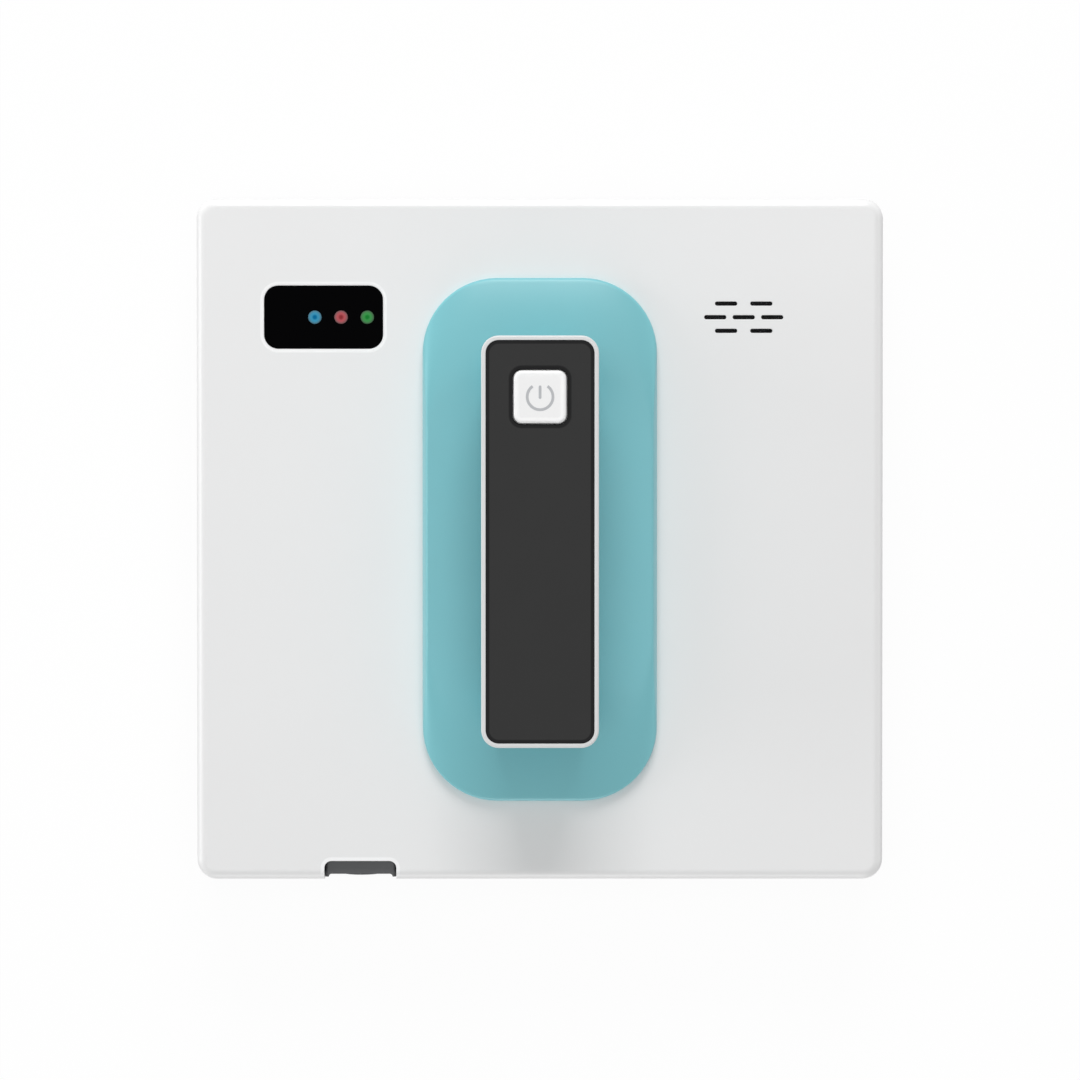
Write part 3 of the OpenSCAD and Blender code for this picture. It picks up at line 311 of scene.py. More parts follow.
def turned(profile: list[tuple[float, float]], sides: int = 48, closed: bool = False) -> BMesh:
    """Turn a profile about the Z axis, as on a lathe.

    Args:
        profile: Radius and height of its points.
        sides: Number of steps in the turn.
        closed: Whether the last point joins the first, for a tube.

    Returns:
        The mesh.
    """
    bm = bmesh.new()
    verts = [bm.verts.new((radius, 0, height)) for radius, height in profile]
    pairs = list(zip(verts, verts[1:])) + ([(verts[-1], verts[0])] if closed else [])
    edges = [bm.edges.new(pair) for pair in pairs]
    bmesh.ops.spin(bm, geom=verts + edges, cent=(0, 0, 0), axis=(0, 0, 1), dvec=(0, 0, 0),
                   angle=math.tau, steps=sides, use_merge=True, use_duplicate=False)
    bmesh.ops.remove_doubles(bm, verts=bm.verts, dist=MERGE)
    return bm


def placed(bm: BMesh, at: Vector, turn: float = 0.0, axis: str = "X") -> BMesh:
    """Turn a mesh about the origin and move it to its place.

    Args:
        bm: The mesh.
        at: Where its origin goes.
        turn: Angle in degrees.
        axis: The axis of the turn.

    Returns:
        The same mesh.
    """
    bmesh.ops.rotate(bm, verts=bm.verts, cent=(0, 0, 0),
                     matrix=Matrix.Rotation(math.radians(turn), 3, axis))
    bmesh.ops.translate(bm, vec=at, verts=bm.verts)
    return bm


def together(*parts: BMesh) -> BMesh:
    """Put several meshes that don't touch into one.

    Args:
        parts: The meshes, which are used up.

    Returns:
        The mesh with all of them.
    """
    whole = bmesh.new()
    for part in parts:
        mesh = bpy.data.meshes.new("part")
        part.to_mesh(mesh)
        part.free()
        whole.from_mesh(mesh)
        bpy.data.meshes.remove(mesh)
    return whole


def settled(name: str, bm: BMesh) -> bpy.types.Object:
    """Turn a mesh in millimetres into an object in metres.

    Args:
        name: Name of the object.
        bm: The mesh, which is used up.

    Returns:
        The object, with its normals outwards.
    """
    bmesh.ops.remove_doubles(bm, verts=bm.verts, dist=MERGE)
    bmesh.ops.recalc_face_normals(bm, faces=bm.faces)
    bmesh.ops.scale(bm, vec=(MM, MM, MM), verts=bm.verts)
    mesh = bpy.data.meshes.new(name)
    bm.to_mesh(mesh)
    bm.free()
    piece = bpy.data.objects.new(name, mesh)
    bpy.context.scene.collection.objects.link(piece)
    return piece


def applied(piece: bpy.types.Object) -> bpy.types.Object:
    """Make the modifiers of a piece part of its mesh.

    Args:
        piece: The piece.

    Returns:
        The same piece.
    """
    graph = bpy.context.evaluated_depsgraph_get()
    mesh = bpy.data.meshes.new_from_object(piece.evaluated_get(graph), depsgraph=graph)
    piece.modifiers.clear()
    old, piece.data = piece.data, mesh
    bpy.data.meshes.remove(old)
    return piece


def carve(piece: bpy.types.Object, tool: BMesh, how: Join = Join.TAKE) -> bpy.types.Object:
    """Cut a solid out of a piece, or join it on.

    Args:
        piece: The piece.
        tool: The other solid, in millimetres, which is used up.
        how: Whether the solid is taken out or added.

    Returns:
        The piece.
    """
    other = settled("tool", tool)
    cut = piece.modifiers.new("cut", "BOOLEAN")
    cut.solver = "EXACT"
    cut.operation = how.value
    cut.object = other
    applied(piece)
    mesh = other.data
    bpy.data.objects.remove(other)
    bpy.data.meshes.remove(mesh)
    return piece


def smooth(piece: bpy.types.Object, sharp: float = 32.0) -> bpy.types.Object:
    """Shade a piece smoothly across its small steps and keep its edges.

    Args:
        piece: The piece.
        sharp: Angle in degrees from which an edge stays sharp.

    Returns:
        The piece.
    """
    piece.data.shade_smooth()
    piece.data.set_sharp_from_angle(angle=math.radians(sharp))
    weighted = piece.modifiers.new("flat faces", "WEIGHTED_NORMAL")
    weighted.keep_sharp = True
    return piece


# Finishes

# Where a mask starts and ends on the value that it is made from

SPAN = (0.3, 0.7)  # noise, over the part of its range in which most of its values lie
PATCHES = (0.35, 0.65)  # noise, for patches with soft edges
STAINS = (0.4, 0.75)  # noise, for stains that stand apart
WORN = (0.86, 0.995)  # agreement of the rounded and the flat normal, from an edge to a flat face
LOOP_TOP = (0.0, 0.75)  # distance from a loop's middle, for its round top
BETWEEN = (0.1, 0.8)  # the same, for the shade between loops
MESH_HOLE = (0.45, 0.6)  # height of the lower wire
PAD_EDGE = (0.12, 0.16)  # distance from a pad's middle
BAND_EDGE = (0.75, 1.15)  # distance from an outline, as a share of the band's width


def linear(red: float, green: float, blue: float) -> tuple[float, float, float, float]:
    """Turn a screen colour into the linear one that a shader takes.

    Args:
        red: Red from 0 to 255.
        green: Green.
        blue: Blue.

    Returns:
        Its linear channels, with an alpha of one.
    """
    def channel(value: float) -> float:
        """Turn one screen value into its linear share."""
        share = value / 255
        return share / 12.92 if share <= 0.04045 else ((share + 0.055) / 1.055) ** 2.4

    return channel(red), channel(green), channel(blue), 1.0


def shaded(colour: Colour, share: float) -> Colour:
    """Return a colour made darker, or lighter where the share is above one."""
    return tuple(min(255.0, value * share) for value in colour)


class Wiring:
    """Places and joins the nodes of one material or node group.

    Args:
        tree: The node tree, which is emptied first.
    """

    def __init__(self, tree: bpy.types.NodeTree) -> None:
        """Empty the tree."""
        self.tree = tree
        tree.nodes.clear()

    def add(self, kind: str, **settings: object) -> bpy.types.Node:
        """Place a node and set its properties.

        Args:
            kind: The node's type without its prefix.
            settings: Properties of the node.

        Returns:
            The node.
        """
        node = self.tree.nodes.new("ShaderNode" + kind)
        for key, value in settings.items():
            setattr(node, key, value)
        return node

    def join(self, source: bpy.types.NodeSocket, target: bpy.types.NodeSocket) -> None:
        """Join an output to an input."""
        self.tree.links.new(source, target)

    def feed(self, target: bpy.types.NodeSocket, value: object) -> None:
        """Join an input to a socket, or set it to a plain value."""
        if isinstance(value, bpy.types.NodeSocket):
            self.join(value, target)
        else:
            target.default_value = value

    def math(self, operation: str, first: object, second: object = 0.0,
             clamp: bool = False) -> bpy.types.NodeSocket:
        """Work on one or two numbers.

        Args:
            operation: Name of the operation.
            first: The first number or its socket.
            second: The second one.
            clamp: Whether the result is kept between 0 and 1.

        Returns:
            The socket of the result.
        """
        node = self.add("Math", operation=operation, use_clamp=clamp)
        self.feed(node.inputs[0], first)
        self.feed(node.inputs[1], second)
        return node.outputs[0]

    def vector(self, operation: str, first: object, second: object = (0, 0, 0)) -> bpy.types.Node:
        """Work on one or two vectors.

        Args:
            operation: Name of the operation.
            first: The first vector or its socket.
            second: The second one.

        Returns:
            The node, whose output depends on the operation.
        """
        node = self.add("VectorMath", operation=operation)
        self.feed(node.inputs[0], first)
        self.feed(node.inputs[1], second)
        return node

    def spread(self, value: object, low: float, high: float, start: float = 0.0,
               end: float = 1.0) -> bpy.types.NodeSocket:
        """Map a number from one range to another.

        Args:
            value: The number or its socket.
            low: Result at the start.
            high: Result at the end.
            start: Where the input range starts.
            end: Where it ends.

        Returns:
            The socket of the result.
        """
        node = self.add("MapRange", interpolation_type="SMOOTHSTEP")
        for index, item in enumerate((value, start, end, low, high)):
            self.feed(node.inputs[index], item)
        return node.outputs[0]

    def mix(self, share: object, first: object, second: object) -> bpy.types.NodeSocket:
        """Blend two colours.

        Args:
            share: How much of the second colour shows.
            first: The first colour or its socket.
            second: The second colour or its socket.

        Returns:
            The socket of the result.
        """
        node = self.add("Mix", data_type="RGBA")
        for index, item in ((0, share), (6, first), (7, second)):
            self.feed(node.inputs[index], item)
        return node.outputs[2]

    def noise(self, scale: object, detail: float = 2.0,
              coordinates: object = None) -> bpy.types.NodeSocket:
        """Place a noise.

        Args:
            scale: Its scale or that scale's socket.
            detail: Number of finer layers in it.
            coordinates: Where it is read, or the object's own coordinates where none are given.

        Returns:
            The socket of its value.
        """
        node = self.add("TexNoise")
        node.inputs["Detail"].default_value = detail
        self.feed(node.inputs["Scale"], scale)
        self.feed(node.inputs["Vector"], self.coordinates() if coordinates is None else coordinates)
        return node.outputs[0]

    def coordinates(self) -> bpy.types.NodeSocket:
        """Return the object's own coordinates, in metres."""
        return self.add("TexCoord").outputs["Object"]

    def effect(self, name: str, **values: float) -> bpy.types.Node:
        """Place a node group with its own values.

        Args:
            name: Name of the group.
            values: Values of its inputs.

        Returns:
            The group node.
        """
        node = self.add("Group")
        node.node_tree = EFFECTS[name]
        for key, value in values.items():
            node.inputs[key].default_value = value
        return node

    def bump(self, height: bpy.types.NodeSocket, depth: float,
             normal: bpy.types.NodeSocket | None = None) -> bpy.types.NodeSocket:
        """Turn a height into a normal.

        Args:
            height: Socket of the height, from 0 to 1.
            depth: Depth of the relief in millimetres.
            normal: Socket of the normal under it.

        Returns:
            The socket of the normal.
        """
        node = self.add("Bump")
        node.inputs["Distance"].default_value = depth * MM
        self.join(height, node.inputs["Height"])
        if normal is not None:
            self.join(normal, node.inputs["Normal"])
        return node.outputs[0]

    def surface(self, shader: bpy.types.Node, *sockets: bpy.types.NodeSocket) -> None:
        """Join a colour, a roughness and, where there is one, a normal to a shader."""
        for name, socket in zip(("Base Color", "Roughness", "Normal"), sockets):
            self.join(socket, shader.inputs[name])


EFFECTS: dict[str, bpy.types.NodeTree] = {}


def new_effect(name: str, inputs: dict[str, float],
               outputs: dict[str, str]) -> tuple[Wiring, bpy.types.Node, bpy.types.Node]:
    """Start a node group.

    Args:
        name: Name of the group.
        inputs: Its numbers and their defaults.
        outputs: Its outputs and their kinds.

    Returns:
        The wiring, and the nodes of the group's inputs and outputs.
    """
    tree = bpy.data.node_groups.new(name, "ShaderNodeTree")
    for label, value in inputs.items():
        socket = tree.interface.new_socket(name=label, in_out="INPUT",
                                           socket_type="NodeSocketFloat")
        socket.default_value = value
    for label, kind in outputs.items():
        tree.interface.new_socket(name=label, in_out="OUTPUT", socket_type="NodeSocket" + kind)
    wiring = Wiring(tree)
    start, end = tree.nodes.new("NodeGroupInput"), tree.nodes.new("NodeGroupOutput")
    EFFECTS[name] = tree
    return wiring, start, end


def make_moulded_grain() -> None:
    """Make the grain of moulded plastic: fine relief, a slow drift of tone and patches of gloss."""
    wiring, start, end = new_effect("moulded_grain", {"Grain": 1800.0, "Drift": 14.0},
                                    {"Height": "Float", "Tone": "Float", "Polish": "Float"})
    place = wiring.coordinates()
    wiring.join(wiring.noise(start.outputs["Grain"], 2.0, place), end.inputs["Height"])
    drift = wiring.noise(start.outputs["Drift"], 3.0, place)
    wiring.join(wiring.spread(drift, 0, 1, *SPAN), end.inputs["Tone"])
    patches = wiring.math("MULTIPLY", start.outputs["Drift"], 5.0)
    wiring.join(wiring.noise(patches, 4.0, place), end.inputs["Polish"])


def make_edge_scuff_highlight() -> None:
    """Make the look of handled edges: a rounded normal and a mask of edges, lighter from wear and a
    painted highlight.
    """
    wiring, start, end = new_effect("edge_scuff_highlight", {"Radius": 0.0003, "Break up": 260.0},
                                    {"Normal": "Vector", "Scuff highlight": "Float"})
    rounded = wiring.add("Bevel", samples=4)
    wiring.join(start.outputs["Radius"], rounded.inputs["Radius"])
    flat = wiring.add("NewGeometry").outputs["Normal"]
    facing = wiring.vector("DOT_PRODUCT", rounded.outputs[0], flat).outputs["Value"]
    edge = wiring.spread(facing, 1, 0, *WORN)
    patchy = wiring.spread(wiring.noise(start.outputs["Break up"], 3.0), 0.3, 1, *PATCHES)
    wiring.join(rounded.outputs[0], end.inputs["Normal"])
    wiring.join(wiring.math("MULTIPLY", edge, patchy, clamp=True), end.inputs["Scuff highlight"])


def make_drawn_lines() -> None:
    """Make the fine lines of drawn or turned metal, along the axis that is stretched least."""
    wiring, start, end = new_effect("drawn_lines", {"Along X": 1.0, "Along Y": 1.0, "Along Z": 1.0},
                                    {"Streak": "Float", "Stain": "Float"})
    stretch = wiring.add("CombineXYZ")
    for index, label in enumerate(("Along X", "Along Y", "Along Z")):
        wiring.join(start.outputs[label], stretch.inputs[index])
    place = wiring.coordinates()
    pulled = wiring.vector("MULTIPLY", place, stretch.outputs[0]).outputs["Vector"]
    wiring.join(wiring.noise(1.0, 3.0, pulled), end.inputs["Streak"])
    stains = wiring.noise(120.0, 4.0, place)
    wiring.join(wiring.spread(stains, 0, 1, *STAINS), end.inputs["Stain"])


def make_textile_loops() -> None:
    """Make the loops of a microfibre pile, in loose rows."""
    wiring, start, end = new_effect("textile_loops", {"Loops": 620.0, "Crush": 60.0},
                                    {"Height": "Float", "Tone": "Float"})
    place = wiring.coordinates()
    bent = wiring.add("TexNoise")
    bent.inputs["Scale"].default_value = 90.0
    wiring.join(place, bent.inputs["Vector"])
    drift = wiring.vector("SCALE", bent.outputs["Color"])
    drift.inputs["Scale"].default_value = 0.004
    moved = wiring.vector("ADD", place, drift.outputs["Vector"]).outputs["Vector"]
    loops = wiring.add("TexVoronoi", feature="SMOOTH_F1")
    wiring.join(start.outputs["Loops"], loops.inputs["Scale"])
    wiring.join(moved, loops.inputs["Vector"])
    fibres = wiring.noise(4200.0, 3.0, place)
    round_top = wiring.spread(loops.outputs["Distance"], 1, 0, *LOOP_TOP)
    wiring.join(wiring.math("ADD", round_top, wiring.math("MULTIPLY", fibres, 0.35)),
                end.inputs["Height"])
    crushed = wiring.spread(wiring.noise(start.outputs["Crush"], 3.0, place), 0, 0.4, *PATCHES)
    # Painted shade between the loops, with crushed patches of random tone added.
    between = wiring.spread(loops.outputs["Distance"], 0.2, 1, *BETWEEN)
    shade = wiring.math("MULTIPLY", between, 0.6)
    wiring.join(wiring.math("ADD", shade, crushed, clamp=True), end.inputs["Tone"])


def make_woven_mesh() -> None:
    """Make the weave of a speaker's mesh: round wires that cross, and the holes between them."""
    wiring, start, end = new_effect("woven_mesh", {"Pitch": 0.0007},
                                    {"Height": "Float", "Hole": "Float"})
    parts = wiring.add("SeparateXYZ")
    wiring.join(wiring.coordinates(), parts.inputs[0])
    rate = wiring.math("DIVIDE", math.pi, start.outputs["Pitch"])
    turns = [wiring.math("MULTIPLY", parts.outputs[axis], rate) for axis in (0, 1)]
    waves = [wiring.math("ABSOLUTE", wiring.math("SINE", turn)) for turn in turns]
    lower = wiring.math("MINIMUM", *waves)
    wiring.join(wiring.math("SUBTRACT", 1.0, lower), end.inputs["Height"])
    wiring.join(wiring.spread(lower, 0, 1, *MESH_HOLE), end.inputs["Hole"])


def make_board_traces() -> None:
    """Make the copper traces and round pads of a printed board, seen through its green lacquer."""
    wiring, start, end = new_effect("board_traces", {"Pads": 260.0, "Traces": 150.0},
                                    {"Copper": "Float", "Pad": "Float"})
    place = wiring.coordinates()
    lanes = wiring.add("TexBrick", offset=0.5, squash=0.6, squash_frequency=3)
    set_constants(lanes, Mortar_Size=0.06, Mortar_Smooth=0.1, Brick_Width=0.9, Row_Height=0.3)
    wiring.join(start.outputs["Traces"], lanes.inputs["Scale"])
    wiring.join(place, lanes.inputs["Vector"])
    dots = wiring.add("TexVoronoi", feature="F1")
    set_constants(dots, Randomness=0.35)
    wiring.join(start.outputs["Pads"], dots.inputs["Scale"])
    wiring.join(place, dots.inputs["Vector"])
    wiring.join(lanes.outputs["Fac"], end.inputs["Copper"])
    wiring.join(wiring.spread(dots.outputs["Distance"], 1, 0, *PAD_EDGE), end.inputs["Pad"])


def make_painted_band() -> None:
    """Make a mask of a rounded opening and the narrow band round it, seen from above, for bands of
    painted highlight and painted shade.
    """
    labels = ("X", "Y", "Half width", "Half length", "Radius", "Band")
    wiring, start, end = new_effect("painted_band_mask", dict.fromkeys(labels, 0.01), {"Mask": "Float"})
    centre, half = wiring.add("CombineXYZ"), wiring.add("CombineXYZ")
    flat = wiring.vector("MULTIPLY", wiring.coordinates(), (1, 1, 0)).outputs["Vector"]
    for node, names in ((centre, ("X", "Y")), (half, ("Half width", "Half length"))):
        for index, label in enumerate(names):
            wiring.join(start.outputs[label], node.inputs[index])
    away = wiring.vector("SUBTRACT", flat, centre.outputs[0]).outputs["Vector"]
    aside = wiring.vector("ABSOLUTE", away).outputs["Vector"]
    beyond = wiring.vector("SUBTRACT", aside, half.outputs[0])
    outside = wiring.vector("MAXIMUM", beyond.outputs["Vector"]).outputs["Vector"]
    reach = wiring.vector("LENGTH", outside).outputs["Value"]
    gap = wiring.math("SUBTRACT", reach, start.outputs["Radius"])
    share = wiring.math("DIVIDE", gap, start.outputs["Band"])
    wiring.join(wiring.spread(share, 1, 0, *BAND_EDGE), end.inputs["Mask"])


def new_material(name: str) -> tuple[bpy.types.Material, Wiring, bpy.types.Node]:
    """Start a material.

    Args:
        name: Name of the material.

    Returns:
        The material, its wiring and its shader.
    """
    material = bpy.data.materials.new(name)
    material.use_nodes = True
    wiring = Wiring(material.node_tree)
    shader = wiring.add("BsdfPrincipled")
    wiring.join(shader.outputs[0], wiring.add("OutputMaterial").inputs[0])
    return material, wiring, shader


def set_constants(node: bpy.types.Node, **values: object) -> None:
    """Set a node's own sockets, with spaces in their names written as underscores."""
    for key, value in values.items():
        node.inputs[key.replace("_", " ")].default_value = value


@dataclass(frozen=True)
class PaintedBand:
    """A band of another colour round an outline on a plastic, and inside it: a painted highlight
    where lighter, painted shade where darker.

    Attributes:
        outline: The outline, seen from above.
        band: Width of the band outside it.
        colour: Its colour.
    """

    outline: Outline
    band: float
    colour: Colour

    def sizes(self) -> dict[str, float]:
        """Return the inputs of the effect that draws the band, in metres."""
        shape = self.outline
        sizes = {
            "X": shape.x, "Y": shape.y, "Radius": shape.radius, "Band": self.band,
            "Half width": shape.width / 2 - shape.radius,
            "Half length": shape.length / 2 - shape.radius,
        }
        return {label: size * MM for label, size in sizes.items()}


@dataclass(frozen=True)
class Plastic:
    """Moulded plastic with a fine grain, a little drift in its tone, edges lighter from handling
    and a painted highlight, and sides painted lighter as a painted highlight.

    Attributes:
        name: Name of the material.
        colour: Its colour in screen values.
        roughness: How dull it is.
        grain: Grains to a metre.
        depth: Depth of the grain in millimetres.
        drift: Share by which the tone falls in places.
        specular: Strength of its reflection, where one half is usual.
        scuff_highlight: Colour share of the edges, above one where they are lighter from wear and a
            painted highlight.
        scuff_highlight_share: Share of that edge colour that shows there.
        turned: Colour share of the surfaces that don't face up or down, a painted highlight.
        patchy: How much its gloss differs from place to place.
        coat: Weight of a clear coat.
        coat_roughness: How dull that coat is.
        edge: Radius of the rounded edges in millimetres.
        painted_bands: Bands round openings and edges, lighter as a painted highlight or darker as
            painted shade.
    """

    name: str
    colour: Colour
    roughness: float = 0.35
    grain: float = 1800.0
    depth: float = 0.006
    drift: float = 0.02
    specular: float = 0.5
    scuff_highlight: float = 1.04
    scuff_highlight_share: float = 0.6
    turned: float = 1.0
    patchy: float = 0.05
    coat: float = 0.0
    coat_roughness: float = 0.08
    edge: float = 0.25
    painted_bands: tuple[PaintedBand, ...] = ()

    def make(self) -> bpy.types.Material:
        """Build the material.

        Returns:
            The material.
        """
        material, wiring, shader = new_material(self.name)
        grain = wiring.effect("moulded_grain", Grain=self.grain)
        edge = wiring.effect("edge_scuff_highlight", Radius=self.edge * MM)
        tone = wiring.mix(grain.outputs["Tone"], linear(*self.colour),
                          linear(*shaded(self.colour, 1 - self.drift)))
        # Painted highlight: surfaces that face sideways, such as rounded edges, are painted
        # lighter.
        if self.turned != 1:
            facing = wiring.add("SeparateXYZ")
            wiring.join(wiring.add("NewGeometry").outputs["Normal"], facing.inputs[0])
            aside = wiring.spread(wiring.math("ABSOLUTE", facing.outputs["Z"]), 1, 0, 0.7, 1.0)
            tone = wiring.mix(aside, tone, linear(*shaded(self.colour, self.turned)))
        # Bands painted lighter as a painted highlight, or darker as painted shade, round outlines.
        for rim in self.painted_bands:
            mask = wiring.effect("painted_band_mask", **rim.sizes())
            tone = wiring.mix(mask.outputs["Mask"], tone, linear(*rim.colour))
        # Edges painted lighter: partly wear, partly a painted highlight.
        scuff_highlight_share = wiring.math("MULTIPLY", edge.outputs["Scuff highlight"], self.scuff_highlight_share)
        tone = wiring.mix(scuff_highlight_share, tone, linear(*shaded(self.colour, self.scuff_highlight)))
        dull = wiring.spread(grain.outputs["Polish"], self.roughness - self.patchy,
                             self.roughness + self.patchy, *SPAN)
        relief = wiring.bump(grain.outputs["Height"], self.depth, edge.outputs["Normal"])
        wiring.surface(shader, tone, dull, relief)
        set_constants(shader, Specular_IOR_Level=self.specular, Coat_Weight=self.coat,
                      Coat_Roughness=self.coat_roughness)
        return material


class Grain(Enum):
    """The axis along which a metal part was drawn or turned, as stretches along X, Y and Z."""

    ACROSS = (60.0, 2600.0, 2600.0)
    ALONG = (2600.0, 60.0, 2600.0)
    UPRIGHT = (2600.0, 2600.0, 60.0)


@dataclass(frozen=True)
class Metal:
    """Drawn or turned metal with fine lines and faint stains.

    Attributes:
        name: Name of the material.
        colour: Its colour in screen values.
        grain: Direction of its lines.
        roughness: How dull it is.
        trough: Colour share between its lines.
        stained: Colour share of its stains, and how much of them shows.
        scuff_highlight: Colour share of its edges, lighter from wear and a painted highlight.
        edge: Radius of the rounded edges in millimetres.
        gloss: How much duller it is in its lines' troughs and on their crests.
        depth: Depth of the lines in millimetres.
    """

    name: str
    colour: Colour
    grain: Grain
    roughness: float = 0.28
    trough: float = 0.92
    stained: tuple[float, float] = (0.7, 0.25)
    scuff_highlight: float = 1.1
    edge: float = 0.15
    gloss: tuple[float, float] = (-0.08, 0.1)
    depth: float = 0.004

    def make(self) -> bpy.types.Material:
        """Build the material.

        Returns:
            The material.
        """
        material, wiring, shader = new_material(self.name)
        along = zip(("Along X", "Along Y", "Along Z"), self.grain.value)
        lines = wiring.effect("drawn_lines", **dict(along))
        edge = wiring.effect("edge_scuff_highlight", Radius=self.edge * MM)
        streak = lines.outputs["Streak"]
        tone = wiring.mix(streak, linear(*shaded(self.colour, self.trough)), linear(*self.colour))
        stained, shown = self.stained
        tone = wiring.mix(wiring.math("MULTIPLY", lines.outputs["Stain"], shown), tone,
                          linear(*shaded(self.colour, stained)))
        # Edges painted lighter: partly wear, partly a painted highlight.
        tone = wiring.mix(edge.outputs["Scuff highlight"], tone, linear(*shaded(self.colour, self.scuff_highlight)))
        dull = wiring.spread(streak, *[self.roughness + more for more in self.gloss], *SPAN)
        wiring.surface(shader, tone, dull, wiring.bump(streak, self.depth, edge.outputs["Normal"]))
        set_constants(shader, Metallic=1.0)
        return material


@dataclass(frozen=True)
class Microfibre:
    """Looped microfibre pile, lighter on its tips than between the loops, where it is painted
    shade.

    Attributes:
        name: Name of the material.
        colour: Colour of the tips.
        root: Colour between the loops, painted shade.
        loops: Loops to a metre.
        depth: Depth of the pile that the relief shows, in millimetres.
        dull: How dull it is between the loops and on their tips.
        sheen: Weight and roughness of its sheen.
        specular: Strength of its reflection.
    """

    name: str
    colour: Colour
    root: Colour
    loops: float = 620.0
    depth: float = 0.6
    dull: tuple[float, float] = (0.95, 0.8)
    sheen: tuple[float, float] = (0.3, 0.5)
    specular: float = 0.2

    def make(self) -> bpy.types.Material:
        """Build the material.

        Returns:
            The material.
        """
        material, wiring, shader = new_material(self.name)
        pile = wiring.effect("textile_loops", Loops=self.loops)
        tone = wiring.mix(pile.outputs["Tone"], linear(*self.colour), linear(*self.root))
        height = pile.outputs["Height"]
        wiring.surface(shader, tone, wiring.spread(height, *self.dull),
                       wiring.bump(height, self.depth))
        weight, roughness = self.sheen
        set_constants(shader, Sheen_Weight=weight, Sheen_Roughness=roughness,
                      Specular_IOR_Level=self.specular)
        return material


@dataclass(frozen=True)
class Board:
    """Printed board: green lacquer over copper traces, with bare pads.

    Attributes:
        name: Name of the material.
        colour: Colour of the lacquer.
        copper: Colour of the lacquer over copper.
        pad: Colour of the bare pads.
        dull: How dull the lacquer and the pads are.
        depth: How far the copper stands up, in millimetres.
    """

    name: str
    colour: Colour
    copper: Colour
    pad: Colour
    dull: tuple[float, float] = (0.35, 0.25)
    depth: float = 0.03

    def make(self) -> bpy.types.Material:
        """Build the material.

        Returns:
            The material.
        """
        material, wiring, shader = new_material(self.name)
        traces = wiring.effect("board_traces")
        lacquer = wiring.mix(traces.outputs["Copper"], linear(*self.colour), linear(*self.copper))
        tone = wiring.mix(traces.outputs["Pad"], lacquer, linear(*self.pad))
        dull = wiring.spread(traces.outputs["Pad"], *self.dull)
        wiring.surface(shader, tone, dull, wiring.bump(traces.outputs["Copper"], self.depth))
        return material


@dataclass(frozen=True)
class WovenMesh:
    """Fine woven mesh whose holes are darker than its wires.

    Attributes:
        name: Name of the material.
        wire: Colour of the wires.
        hole: Colour seen through the holes.
        pitch: Distance between two wires in millimetres.
        dull: How dull the wires and the holes are.
        depth: Depth of the weave in millimetres.
        specular: Strength of its reflection.
    """

    name: str
    wire: Colour
    hole: Colour
    pitch: float = 0.7
    dull: tuple[float, float] = (0.45, 0.8)
    depth: float = 0.12
    specular: float = 0.2

    def make(self) -> bpy.types.Material:
        """Build the material.

        Returns:
            The material.
        """
        material, wiring, shader = new_material(self.name)
        weave = wiring.effect("woven_mesh", Pitch=self.pitch * MM)
        tone = wiring.mix(weave.outputs["Hole"], linear(*self.wire), linear(*self.hole))
        dull = wiring.spread(weave.outputs["Hole"], *self.dull)
        wiring.surface(shader, tone, dull, wiring.bump(weave.outputs["Height"], self.depth))
        set_constants(shader, Specular_IOR_Level=self.specular)
        return material


@dataclass(frozen=True)
class Lens:
    """Tinted lens over a light, whose colour changes from its core to its rim.

    Attributes:
        name: Name of the material.
        core: Colour in the middle.
        middle: Colour halfway.
        rim: Colour at the edge.
        x: Where its axis is along X, in millimetres.
        y: Where its axis is along Y.
        radius: Radius of the lens.
        cloud: Clouds to a metre that blur its colours, and how far they reach, as a radius share.
        inner: Radius shares between which the core's colour turns into the middle one.
        outer: The same for the middle one and the rim's.
        dull: How dull it is in its middle and at its rim.
        specular: Strength of its reflection.
    """

    name: str
    core: Colour
    middle: Colour
    rim: Colour
    x: float
    y: float
    radius: float
    cloud: tuple[float, float] = (900.0, 0.08)
    inner: tuple[float, float] = (0.2, 0.55)
    outer: tuple[float, float] = (0.6, 0.95)
    dull: tuple[float, float] = (0.2, 0.4)
    specular: float = 0.03

    def make(self) -> bpy.types.Material:
        """Build the material.

        Returns:
            The material.
        """
        material, wiring, shader = new_material(self.name)
        flat = wiring.vector("MULTIPLY", wiring.coordinates(), (1 / MM, 1 / MM, 0))
        away = wiring.vector("SUBTRACT", flat.outputs["Vector"], (self.x, self.y, 0))
        reach = wiring.vector("LENGTH", away.outputs["Vector"]).outputs["Value"]
        reach = wiring.math("DIVIDE", reach, self.radius)
        scale, blur = self.cloud
        cloud = wiring.math("MULTIPLY", wiring.noise(scale), blur)
        reach = wiring.math("ADD", reach, cloud)
        inner = wiring.spread(reach, 0, 1, *self.inner)
        inner = wiring.mix(inner, linear(*self.core), linear(*self.middle))
        outer = wiring.spread(reach, 0, 1, *self.outer)
        tone = wiring.mix(outer, inner, linear(*self.rim))
        wiring.surface(shader, tone, wiring.spread(reach, *self.dull))
        set_constants(shader, Specular_IOR_Level=self.specular)
        return material


# Pieces


@dataclass(frozen=True)
class Kit:
    """What a finished piece belongs to.

    Attributes:
        body: The CAD body that it rides on.
        slot: Name of its material slot; not used.
        nodes: The CAD nodes that it stands for.
    """

    body: str
    slot: str
    nodes: tuple[str, ...]


